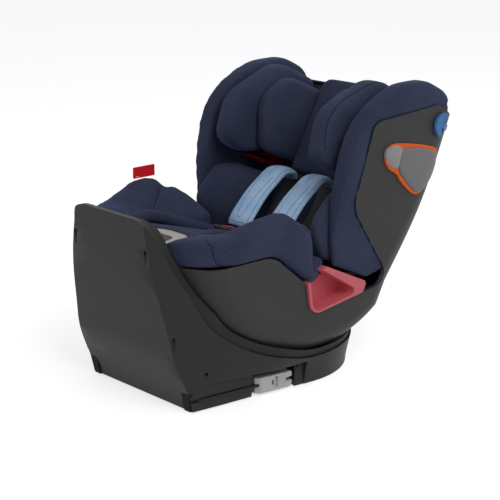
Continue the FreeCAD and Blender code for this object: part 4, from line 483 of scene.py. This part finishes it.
def knit(name, light, dark, yarn):
    """A knitted polyester cover: rows of loops a yarn apart, drawn about three times coarser than
    they are so that they show, flecks of paler fibre, and slow changes of tone where it is worn."""
    material, tree = blank(name)
    place = add(tree, "TexCoord").outputs["Object"]
    slow = add(tree, "TexNoise", {"Vector": place, "Scale": 9.0, "Detail": 4.0})
    rows = add(tree, "TexWave", {"Vector": place, "Scale": 1.0 / (yarn * 20), "Distortion": 6.0,
                                 "Detail": 2.0, "Detail Scale": 3.0},
               wave_type="BANDS", bands_direction="DIAGONAL")
    loops = add(tree, "TexVoronoi", {"Vector": place, "Scale": 1.0 / yarn})
    fleck = add(tree, "TexNoise", {"Vector": place, "Scale": 420.0, "Detail": 2.0})
    mixed = add(tree, "Math", {0: slow.outputs[0], 1: fleck.outputs[0]}, operation="ADD")
    share = add(tree, "MapRange", {"Value": mixed.outputs[0], "From Min": 0.7, "From Max": 1.3})
    hue = add(tree, "Mix", {"Factor": share.outputs[0], 6: linear(dark), 7: linear(light)},
              data_type="RGBA")
    height = add(tree, "Math", {0: loops.outputs[0], 1: rows.outputs[0]}, operation="MULTIPLY")
    bump = add(tree, "Bump", {"Height": height.outputs[0], "Strength": 0.35, "Distance": 0.0006})
    skin = add(tree, "BsdfPrincipled", {
        "Base Color": hue.outputs[2], "Roughness": 0.92, "Normal": bump.outputs[0],
        "Specular IOR Level": 0.15, "Sheen Weight": 0.18, "Sheen Roughness": 0.45,
        "Sheen Tint": linear("#8C9AC8")})
    add(tree, "OutputMaterial", {"Surface": skin.outputs[0]})
    return material


def points_of(mesh):
    """The mesh's vertices as an array of rows x, y, z."""
    flat = np.empty(len(mesh.vertices) * 3)
    mesh.vertices.foreach_get("co", flat)
    return flat.reshape(-1, 3)


def evaluated(piece):
    """The piece's mesh with its modifiers applied."""
    return bpy.data.meshes.new_from_object(
        piece.evaluated_get(bpy.context.evaluated_depsgraph_get()))


def with_modifier(piece, kind, **settings):
    """Apply one modifier to the piece and keep the result as its mesh."""
    modifier = piece.modifiers.new("step", kind)
    for key, value in settings.items():
        setattr(modifier, key, value)
    mesh = evaluated(piece)
    piece.modifiers.clear()
    old = piece.data
    piece.data = mesh
    bpy.data.meshes.remove(old)


def padded_piece(name, node, body, material, backs, swell=0.006, voxel=0.005,
                 shrink=0.0012, smooth=4, form=None):
    """A foam pad under a sewn cover. The solid is shaped by form, drawn in by shrink, rounded, and
    blown up by cloth pressure; each point moves at most swell, less the nearer it lies to what
    backs it."""
    shape = merged(node)
    mesh = bpy.data.meshes.new(name)
    shape.to_mesh(mesh)
    shape.free()
    piece = in_scene(name, mesh, body, material)
    with_modifier(piece, "REMESH", mode="VOXEL", voxel_size=voxel)
    if form:
        piece.data.vertices.foreach_set("co", form(points_of(piece.data)).ravel())
    with_modifier(piece, "SMOOTH", factor=0.5, iterations=smooth)
    mesh = piece.data
    start = points_of(mesh)
    normal = np.empty(len(start) * 3)
    mesh.vertices.foreach_get("normal", normal)
    start = start - normal.reshape(-1, 3) * shrink
    mesh.vertices.foreach_set("co", start.ravel())
    backing = surface_of(backs)
    gap = np.array([(backing.find_nearest(Vector(p), 0.05)[3] or 0.05) for p in start])
    free = np.clip((gap - 0.004) / 0.012, 0.0, 1.0)
    held = piece.vertex_groups.new(name="held")
    for level in range(5):
        near = np.where((free > level / 5 - 0.001) & (free <= (level + 1) / 5))[0]
        held.add([int(i) for i in near], 1.0 - (level + 0.5) / 5, "REPLACE")
    held.add([int(i) for i in np.where(free <= 0.0)[0]], 1.0, "REPLACE")
    cloth = piece.modifiers.new("cover", "CLOTH")
    cloth.settings.quality = 5
    cloth.settings.use_pressure = True
    cloth.settings.uniform_pressure_force = 4.0
    cloth.settings.effector_weights.gravity = 0.0
    cloth.settings.vertex_group_mass = "held"
    cloth.point_cache.frame_start = 1
    cloth.point_cache.frame_end = 20
    for step in range(1, 21):
        bpy.context.scene.frame_set(step)
    blown = evaluated(piece)
    moved = points_of(blown) - start
    bpy.data.meshes.remove(blown)
    piece.modifiers.clear()
    piece.vertex_groups.clear()
    bpy.context.scene.frame_set(1)
    length = np.linalg.norm(moved, axis=1)
    limit = swell * free
    moved = moved * (limit / np.maximum(length, limit + 1e-9))[:, None]
    mesh.vertices.foreach_set("co", (start + moved).ravel())
    mesh.update()
    with_modifier(piece, "SUBSURF", levels=1, render_levels=1)
    piece.data.shade_smooth()
    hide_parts(node)
    return piece


def laid_on(piece, path):
    """The path's points moved to the nearest points of the piece's surface, and smoothed."""
    tree = BVHTree.FromPolygons([v.co for v in piece.data.vertices],
                                [list(p.vertices) for p in piece.data.polygons])
    found = np.array([tuple(tree.find_nearest(Vector(p))[0]) for p in path])
    for _ in range(2):
        found[1:-1] = (found[:-2] + 2 * found[1:-1] + found[2:]) / 4
    return found


def sewn(piece, path, depth=0.0022, width=0.006):
    """Pull the cover in along a seam: depth times exp(-(distance / width)^2), along the normal."""
    tree = KDTree(len(path))
    for i, point in enumerate(path):
        tree.insert(Vector(point), i)
    tree.balance()
    mesh = piece.data
    rest = points_of(mesh)
    normal = np.empty(len(rest) * 3)
    mesh.vertices.foreach_get("normal", normal)
    near = np.array([tree.find(Vector(p))[2] for p in rest])
    pull = depth * np.exp(-(near / width) ** 2)
    mesh.vertices.foreach_set("co", (rest - normal.reshape(-1, 3) * pull[:, None]).ravel())
    mesh.update()


def tube(name, path, radius, body, material, sides=8, closed=False, flat=1.0):
    """A round profile carried along a path: centre + radius (cos a * side + sin a * up), where up
    is square to the run and to a slanted fixed line; the ends are closed by caps."""
    path = np.asarray(path, float)
    fresh = np.linalg.norm(np.diff(path, axis=0), axis=1) > 1e-5
    path = path[np.concatenate([[True], fresh])]
    run = np.gradient(path, axis=0)
    if closed:
        run = np.roll(path, -1, axis=0) - np.roll(path, 1, axis=0)
    run /= np.linalg.norm(run, axis=1)[:, None]
    up = np.cross(np.array([0.31, 0.22, 0.92])[None, :], run)
    up /= np.linalg.norm(up, axis=1)[:, None]
    side = np.cross(run, up)
    a = np.linspace(0, 2 * np.pi, sides, endpoint=False)
    ring = path[:, None] + radius * (np.cos(a)[None, :, None] * side[:, None]
                                     + flat * np.sin(a)[None, :, None] * up[:, None])
    count = len(path)
    i, j = np.meshgrid(np.arange(count if closed else count - 1), np.arange(sides), indexing="ij")
    after, beside = (i + 1) % count, (j + 1) % sides
    faces = np.stack([i * sides + j, after * sides + j, after * sides + beside,
                      i * sides + beside], -1).reshape(-1, 4).tolist()
    if not closed:
        faces += [list(range(sides)), list(range((count - 1) * sides, count * sides))[::-1]]
    mesh = bpy.data.meshes.new(name)
    mesh.from_pydata(ring.reshape(-1, 3).tolist(), [], faces)
    shape = bmesh.new()
    shape.from_mesh(mesh)
    bmesh.ops.recalc_face_normals(shape, faces=shape.faces)
    shape.to_mesh(mesh)
    shape.free()
    mesh.shade_smooth()
    return in_scene(name, mesh, body, material)


# Warp-knitted polyester, napped: dull navy that goes greyer where it faces the light.
navy_knit = knit("napped navy knit", "#434961", "#31364B", 0.0024)
navy_piping = knit("navy piping", "#20263C", "#151A2C", 0.0020)
padded_piece("cushion", "seat_cushion", "seat", navy_knit,
             ["seat_pan", "seat_shell"], 0.006)


# Each side of the cushion ends in a sewn roll, filled with a foam cord.
for side, way in (("r", 1), ("l", -1)):
    ridge = flowing([(way * 96, -232, 300), (way * 96, -193, 304), (way * 95, -150, 292),
                     (way * 94, -110, 276), (way * 92, -59, 257), (way * 89, -15, 240),
                     (way * 86, 15, 229)], 60) / 1000
    roll = tube("cushion_roll_" + side, ridge, 0.0120, "seat", navy_knit, 16)


# ---- Thigh bolsters ---------------------------------------------------------------------------
# Foam bolsters beside the thighs, low in front and humped at the hip. The cover is pieced: one
# seam crosses the outer face behind the front section, one runs round the rear of the hump.

BOLSTER_BACKS = ["seat_shell", "seat_pan"]


def crown_over(place, height, samples, low, high):
    """The top of a form along one direction: the greatest height in each of samples steps."""
    step = np.clip(((place - low) / (high - low) * (samples - 1)).round().astype(int), 0,
                   samples - 1)
    top = np.full(samples, -1.0)
    np.maximum.at(top, step, height)
    steps = np.linspace(low, high, samples)
    known = top > 0
    return np.interp(place, steps[known], top[known])


def thigh_form(points):
    """The bolster is highest near its outer edge: above the pan's level, heights shrink so that the
    crown follows low front, hump and hip, and fall by half towards the seat's middle."""
    x, y, z = points.T
    base = 0.262
    now = crown_over(y, np.where(np.abs(x) > 0.15, z, 0.0), 60, y.min(), y.max())
    want = np.interp(y * 1000,
                     (-300, -262, -240, -215, -185, -154, -121, -100, -75, -58, -26, 4, 40),
                     (316, 320, 320, 324, 337, 350, 353, 349, 336, 329, 306, 279, 250)) / 1000
    inward = np.clip((0.168 - np.abs(x)) / 0.072, 0.0, 1.0) ** 1.25
    inward = inward * np.clip((y + 0.235) / 0.06, 0.0, 1.0)
    share = np.clip((want - base) / np.maximum(now - base, 0.004), 0.2, 1.5) * (1 - 0.62 * inward)
    return np.stack([x, y, np.where(z > base, base + (z - base) * share, z)], 1)


for side, way in (("r", 1), ("l", -1)):
    bolster = padded_piece("thigh_bolster_" + side + "_cover", "thigh_bolster_" + side, "seat",
                           navy_knit, BOLSTER_BACKS, 0.005, form=thigh_form)
    front = laid_on(bolster, flowing([
        (way * 160, -262, 318), (way * 186, -268, 318), (way * 194, -274, 308),
        (way * 195, -268, 290), (way * 196, -253, 268)], 90) / 1000)
    rear = laid_on(bolster, flowing([
        (way * 106, -170, 285), (way * 120, -150, 308), (way * 142, -118, 330),
        (way * 165, -90, 343), (way * 184, -66, 333), (way * 188, -43, 309),
        (way * 188, -30, 284), (way * 187, -21, 246), (way * 186, -23, 212)], 150) / 1000)
    for label, seam, depth, width in (("front", front, 0.0020, 0.0055),
                                      ("rear", rear, 0.0065, 0.0110)):
        sewn(bolster, seam, depth, width)
        tube(f"thigh_seam_{label}_{side}", laid_on(bolster, seam), 0.0009, "seat",
             navy_piping, 6)
    # The cover's hem is turned down over the front of the lap guide.
    outline = [(-47, 198), (-34, 180), (-27, 183), (-25, 197), (-6, 204), (9, 236), (-6, 246),
               (-26, 240)]
    hem = bmesh.new()
    for x in (150, 181):
        for y, z in outline:
            hem.verts.new((way * x / 1000, y / 1000, z / 1000))
    hem.verts.ensure_lookup_table()
    count = len(outline)
    hem.faces.new([hem.verts[i] for i in range(count)])
    hem.faces.new([hem.verts[count + i] for i in range(count)][::-1])
    for i in range(count):
        j = (i + 1) % count
        hem.faces.new([hem.verts[k] for k in (j, i, count + i, count + j)])
    bmesh.ops.recalc_face_normals(hem, faces=hem.faces)
    bmesh.ops.bevel(hem, geom=hem.edges, offset=0.0030, segments=3, affect="EDGES")
    mesh = bpy.data.meshes.new("lap_hem_" + side)
    hem.to_mesh(mesh)
    hem.free()
    mesh.shade_smooth()
    in_scene("lap_hem_" + side, mesh, "seat", navy_knit)


# ---- Torso bolsters and back pad --------------------------------------------------------------
# Two thick foam pads hold the child's sides, and a thin pad lies down the middle of the back.

def off_back(points):
    """The reverse of on_back: points x, y, z in m as x, v, u in mm."""
    x, y, z = np.asarray(points, float).T * 1000
    v = (y - 100) * math.cos(LEAN) - (z - 232) * math.sin(LEAN)
    u = (y - 100) * math.sin(LEAN) + (z - 232) * math.cos(LEAN)
    return np.stack([x, v, u], 1)


def torso_form(points):
    """The bolster is thickest against the wing, and thins by two thirds towards the middle."""
    x, v, u = off_back(points).T
    inward = np.clip((158 - np.abs(x)) / 60, 0.0, 1.0) ** 1.2
    back = 12.0
    v = np.where(v < back, back + (v - back) * (1 - 0.66 * inward), v)
    return on_back(np.stack([x, v, u], 1) * [1, 1, 1])


for side in ("r", "l"):
    padded_piece("torso_bolster_" + side + "_cover", "torso_bolster_" + side, "seat",
                 navy_knit, BOLSTER_BACKS, 0.005, form=torso_form)
padded_piece("back_cover", "back_pad", "seat", navy_knit, BOLSTER_BACKS, 0.004)


# ---- Wings ------------------------------------------------------------------------------------
# The cover runs over the shell's raised sides and down inside them. It ends in a line of thin
# piping against the grey cheek.

def cast_on(tree, path, way):
    """The path's points moved along x on to the outermost surface on that side."""
    found = []
    for point in path:
        hit = tree.ray_cast(Vector((way * 0.4, point[1], point[2])), Vector((-way, 0, 0)))[0]
        found.append(tuple(hit) if hit else tuple(point))
    found = np.array(found)
    for _ in range(3):
        found[1:-1, 0] = (found[:-2, 0] + 2 * found[1:-1, 0] + found[2:, 0]) / 4
    return found


def wing_form(points):
    """The wing's front edge follows one flowing line from the hip to the crown: each point moves
    along v by the line's distance from the solid's edge, fading out 90 mm behind it."""
    x, v, u = off_back(points).T
    now = -crown_over(u, 500 - v, 70, u.min(), u.max()) + 500
    want = np.interp(u, (-40, -3, 40, 66, 113, 151, 185, 215, 248, 287, 314, 333, 353),
                     (-62, -92, -113, -126, -140, -148, -151, -147, -135, -110, -83, -59, -21))
    fade = np.clip(1 - (v - now) / 90, 0.0, 1.0) * np.clip((335 - u) / 40, 0.0, 1.0)
    return on_back(np.stack([x, v + (want - now) * fade, u], 1))


def rounded_line(corners, count=14):
    """A line through y, z corners with radii: each corner turns on the parabola
    (1-s)^2 a + 2 s (1-s) c + s^2 b between points a and b, radius / tan(half the angle) from it."""
    c = np.asarray(corners, float)
    parts = [c[:1, :2]]
    for before, at, after in zip(c[:-2], c[1:-1], c[2:]):
        p, q = before[:2] - at[:2], after[:2] - at[:2]
        p, q = p / np.linalg.norm(p), q / np.linalg.norm(q)
        reach = at[2] / math.tan(math.acos(float(np.clip(p @ q, -1, 1))) / 2)
        s = np.linspace(0, 1, count)[:, None]
        parts.append((1 - s) ** 2 * (at[:2] + p * reach) + 2 * s * (1 - s) * at[:2]
                     + s ** 2 * (at[:2] + q * reach))
    parts.append(c[-1:, :2])
    line = np.vstack(parts)
    length = np.concatenate([[0], np.cumsum(np.linalg.norm(np.diff(line, axis=0), axis=1))])
    t = np.linspace(0, length[-1], 240)
    return np.stack([np.interp(t, length, line[:, 0]), np.interp(t, length, line[:, 1])], 1)


for side, way in (("r", 1), ("l", -1)):
    padded_piece("wing_" + side + "_cover", "wing_" + side, "seat",
                 navy_knit, ["seat_shell"], 0.004, 0.0045, 0.0006, 9, wing_form)
    edge = rounded_line([(285, 502, 0), (97, 490, 30), (56, 335, 60), (178, 168, 26),
                         (110, 158, 0)]) / 1000
    line = np.column_stack([np.full(len(edge), way * 0.212), edge])
    tube("wing_piping_" + side, cast_on(surface_of(["wing_" + side, "seat_shell"]), line, way),
         0.0013, "seat", navy_piping, 8)
padded_piece("top_roll", "top_cover", "seat", navy_knit, ["seat_shell", "seat_pan"],
             0.003, 0.003, 0.0002, 2)


# ---- Headrest ---------------------------------------------------------------------------------
# A plastic cup on a guide bar carries a middle pad, an inner cheek pad and a thick outer lobe on
# each side. Deep creases part them, and a dark red guide for the shoulder belt hangs below.

hard_piece("headrest_cup", "headrest_shell", "headrest", bowl_plastic, 0.0005)
padded_piece("headrest_middle", "headrest_centre", "headrest", navy_knit,
             ["headrest_shell"], 0.006)
belt_red = moulded("dark red polypropylene", "#7A0A14", 0.40, 0.0020, 0.00004, 0.06)
for side, way in (("r", 1), ("l", -1)):
    padded_piece("headrest_cheek_" + side + "_cover", "headrest_cheek_" + side, "headrest",
                 navy_knit, ["headrest_shell"], 0.006)
    lobe = padded_piece("headrest_lobe_" + side + "_cover", "headrest_lobe_" + side, "headrest",
                        navy_knit, ["headrest_shell"], 0.007)
    seam = laid_on(lobe, flowing(on_back([
        (way * 150, -150, 150), (way * 150, -172, 185), (way * 150, -180, 222),
        (way * 150, -176, 262), (way * 150, -150, 288), (way * 150, -103, 312),
        (way * 150, -55, 328)]), 120))
    tube("lobe_seam_" + side, seam, 0.0009, "headrest", navy_piping, 6)
    hard_piece("shoulder_guide_" + side, "upper_belt_guide_" + side, "headrest",
               belt_red, 0.0010)


# ---- Harness ----------------------------------------------------------------------------------
# Polyester webbing comes over the shoulders under padded covers, and meets at a buckle on a
# short crotch strap.

def webbing(name, colour, rib):
    """Woven seat-belt webbing: fine ribs across the strap, a rib apart, with a low dull shine."""
    material, tree = blank(name)
    place = add(tree, "TexCoord").outputs["Object"]
    ribs = add(tree, "TexWave", {"Vector": place, "Scale": 1.0 / (rib * 20), "Distortion": 0.6},
               wave_type="BANDS", bands_direction="Z")
    slow = add(tree, "TexNoise", {"Vector": place, "Scale": 30.0, "Detail": 2.0})
    worn = tuple(c * 1.25 for c in linear(colour)[:3]) + (1.0,)
    deep = tuple(c * 0.8 for c in linear(colour)[:3]) + (1.0,)
    hue = add(tree, "Mix", {"Factor": slow.outputs[0], 6: deep, 7: worn}, data_type="RGBA")
    bump = add(tree, "Bump", {"Height": ribs.outputs[0], "Strength": 0.5, "Distance": 0.0003})
    skin = add(tree, "BsdfPrincipled", {
        "Base Color": hue.outputs[2], "Roughness": 0.6, "Normal": bump.outputs[0],
        "Sheen Weight": 0.1, "Sheen Roughness": 0.4})
    add(tree, "OutputMaterial", {"Surface": skin.outputs[0]})
    return material


def heather(name, light, dark):
    """A heathered melange jersey: pale and deeper blue fibres mixed in short streaks of about 4 mm,
    over a slow change of tone."""
    material, tree = blank(name)
    place = add(tree, "TexCoord").outputs["Object"]
    run = add(tree, "Mapping", {"Vector": place, "Rotation": (0.9, 0.0, 0.3),
                                "Scale": (420.0, 120.0, 420.0)})
    streak = add(tree, "TexNoise", {"Vector": run.outputs[0], "Scale": 1.0, "Detail": 3.0,
                                    "Roughness": 0.7})
    slow = add(tree, "TexNoise", {"Vector": place, "Scale": 26.0, "Detail": 2.0})
    mixed = add(tree, "Math", {0: streak.outputs[0], 1: slow.outputs[0]}, operation="ADD")
    share = add(tree, "MapRange", {"Value": mixed.outputs[0], "From Min": 0.75, "From Max": 1.25})
    hue = add(tree, "Mix", {"Factor": share.outputs[0], 6: linear(dark), 7: linear(light)},
              data_type="RGBA")
    bump = add(tree, "Bump", {"Height": streak.outputs[0], "Strength": 0.4, "Distance": 0.0004})
    skin = add(tree, "BsdfPrincipled", {
        "Base Color": hue.outputs[2], "Roughness": 0.9, "Normal": bump.outputs[0],
        "Specular IOR Level": 0.15, "Sheen Weight": 0.2, "Sheen Roughness": 0.5})
    add(tree, "OutputMaterial", {"Surface": skin.outputs[0]})
    return material


def soft_band(name, node, body, material, subdivisions=1):
    """A strap: the solid's merged mesh, its arrises turned over as a woven edge is."""
    shape = merged(node)
    mesh = bpy.data.meshes.new(name)
    shape.to_mesh(mesh)
    shape.free()
    piece = in_scene(name, mesh, body, material)
    mesh.shade_smooth()
    mesh.set_sharp_from_angle(angle=math.radians(40))
    bevel = piece.modifiers.new("turned_edge", "BEVEL")
    bevel.width = 0.0006
    bevel.segments = 2
    bevel.limit_method = "ANGLE"
    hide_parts(node)
    return piece


def cover_point(route, x, t, w, face):
    """A point of a shoulder cover: w of its half width across, from 26 mm at the top to 33 mm
    below, and 9 mm (1 - |w|^3)^0.6 (1 - |2t - 1|^9)^0.5 off its middle, at t along the route."""
    t, w = np.broadcast_arrays(np.asarray(t, float), np.asarray(w, float))
    step = np.linspace(0, 1, len(route))
    y, z = np.interp(t, step, route[:, 0]), np.interp(t, step, route[:, 1])
    dy = np.interp(t, step, np.gradient(route[:, 0]))
    dz = np.interp(t, step, np.gradient(route[:, 1]))
    length = np.hypot(dy, dz)
    end = np.clip(1 - np.abs(2 * t - 1) ** 9, 0, 1) ** 0.5
    half = (0.026 + 0.007 * t) * (0.80 + 0.20 * end)
    lift = face * 0.009 * np.clip(1 - np.abs(w) ** 3, 0, 1) ** 0.6 * end
    return np.stack([x + w * half, y + lift * dz / length, z - lift * dy / length], -1)


def cover_mesh(name, route, x):
    """The shoulder cover's closed skin: rings of w over both faces, one at each step of t."""
    w = np.cos(np.linspace(0, np.pi, 17))
    t = (1 - np.cos(np.linspace(0.10, np.pi - 0.10, 40))) / 2
    near = cover_point(route, x, t[:, None], w[None, :], 1)
    far = cover_point(route, x, t[:, None], w[None, 1:-1][:, ::-1], -1)
    rows = np.concatenate([near, far], 1)
    count, sides = rows.shape[:2]
    i, j = np.meshgrid(np.arange(count - 1), np.arange(sides), indexing="ij")
    after = (j + 1) % sides
    faces = np.stack([i * sides + j, i * sides + after, (i + 1) * sides + after,
                      (i + 1) * sides + j], -1).reshape(-1, 4).tolist()
    faces += [list(range(sides))[::-1], list(range((count - 1) * sides, count * sides))]
    mesh = bpy.data.meshes.new(name)
    mesh.from_pydata(rows.reshape(-1, 3).tolist(), [], faces)
    shape = bmesh.new()
    shape.from_mesh(mesh)
    bmesh.ops.recalc_face_normals(shape, faces=shape.faces)
    shape.to_mesh(mesh)
    shape.free()
    mesh.shade_smooth()
    return mesh


black_webbing = webbing("black polyester webbing", "#16181D", 0.0030)
sky_jersey = heather("sky blue melange jersey", "#CBE7FF", "#A6CEF8")
sky_thread = heather("blue stitching", "#7DA4D4", "#6890C4")
for side, way in (("r", 1), ("l", -1)):
    soft_band("shoulder_webbing_" + side, "shoulder_strap_" + side, "seat",
              black_webbing)
    route = flowing([(142, 333), (136, 345), (122, 351), (104, 350), (83, 337), (56, 318),
                     (34, 297), (14, 275), (3, 257)], 44) / 1000
    pad = in_scene("shoulder_cover_" + side,
                   cover_mesh("shoulder_cover_" + side, route, way * 0.052), "seat",
                   sky_jersey)
    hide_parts("shoulder_pad_" + side)
    inset = np.concatenate([np.full(30, -0.80), np.linspace(-0.80, 0.80, 12), np.full(30, 0.80)])
    along = np.concatenate([np.linspace(0.06, 0.95, 30), np.full(12, 0.95),
                            np.linspace(0.95, 0.06, 30)])
    curl = np.linspace(-1, 1, 40)
    for label, t, w in (("edge", along, inset),
                        ("loop", 0.90 - 0.42 * np.abs(curl) ** 2.4, 0.52 * curl),
                        ("middle", np.linspace(0.10, 0.46, 20), np.zeros(20))):
        tube(f"shoulder_stitch_{label}_{side}", cover_point(route, way * 0.052, t, w, 1),
             0.0006, "seat", sky_thread, 5)
soft_band("crotch_webbing", "crotch_strap", "seat", black_webbing)

# A black nylon buckle with a red button, and a bright steel tongue.
buckle_nylon = moulded("black nylon", "#1A1A1C", 0.36, 0.0014, 0.00003, 0.08)
button_red = moulded("red acetal", "#B3121D", 0.30, 0.0020, 0.00002, 0.05)
tumbled_steel = moulded("tumbled steel", "#B8B8B8", 0.30, 0.0012, 0.00002, 0.05)
hard_piece("buckle_case", "buckle", "seat", buckle_nylon, 0.0012)
hard_piece("buckle_push", "buckle_button", "buckle_press", button_red, 0.0006)
hard_piece("tongue", "buckle_tongue", "seat", tumbled_steel, 0.0003)


# ---- Recline handle ---------------------------------------------------------------------------
# A warm grey D-shaped grip at the front of the cushion, with a dark lever inside it.

grip_plastic = moulded("warm grey ABS", "#B9B7AF", 0.42, 0.0016, 0.00004, 0.05)
hard_piece("handle", "handle_housing", "seat", grip_plastic, 0.0025)
hard_piece("handle_lever_bar", "release_lever", "handle_lever", slide_plastic,
           0.0010)


# ---- Side tag ---------------------------------------------------------------------------------
# A folded red satin tab is sewn into the seam of the right-hand bolster. It is bare.

def satin(name, colour):
    """Woven satin ribbon: fine ribs along the tab and a soft shine."""
    material, tree = blank(name)
    place = add(tree, "TexCoord").outputs["Object"]
    ribs = add(tree, "TexWave", {"Vector": place, "Scale": 40.0, "Distortion": 0.4},
               wave_type="BANDS", bands_direction="Z")
    slow = add(tree, "TexNoise", {"Vector": place, "Scale": 60.0})
    deep = tuple(c * 0.88 for c in linear(colour)[:3]) + (1.0,)
    hue = add(tree, "Mix", {"Factor": slow.outputs[0], 6: deep, 7: linear(colour)},
              data_type="RGBA")
    bump = add(tree, "Bump", {"Height": ribs.outputs[0], "Strength": 0.3, "Distance": 0.0002})
    skin = add(tree, "BsdfPrincipled", {"Base Color": hue.outputs[2], "Roughness": 0.45,
                                        "Normal": bump.outputs[0], "Sheen Weight": 0.1})
    add(tree, "OutputMaterial", {"Surface": skin.outputs[0]})
    return material


soft_band("tag", "side_tag", "seat", satin("red satin ribbon", "#FF0A12"))
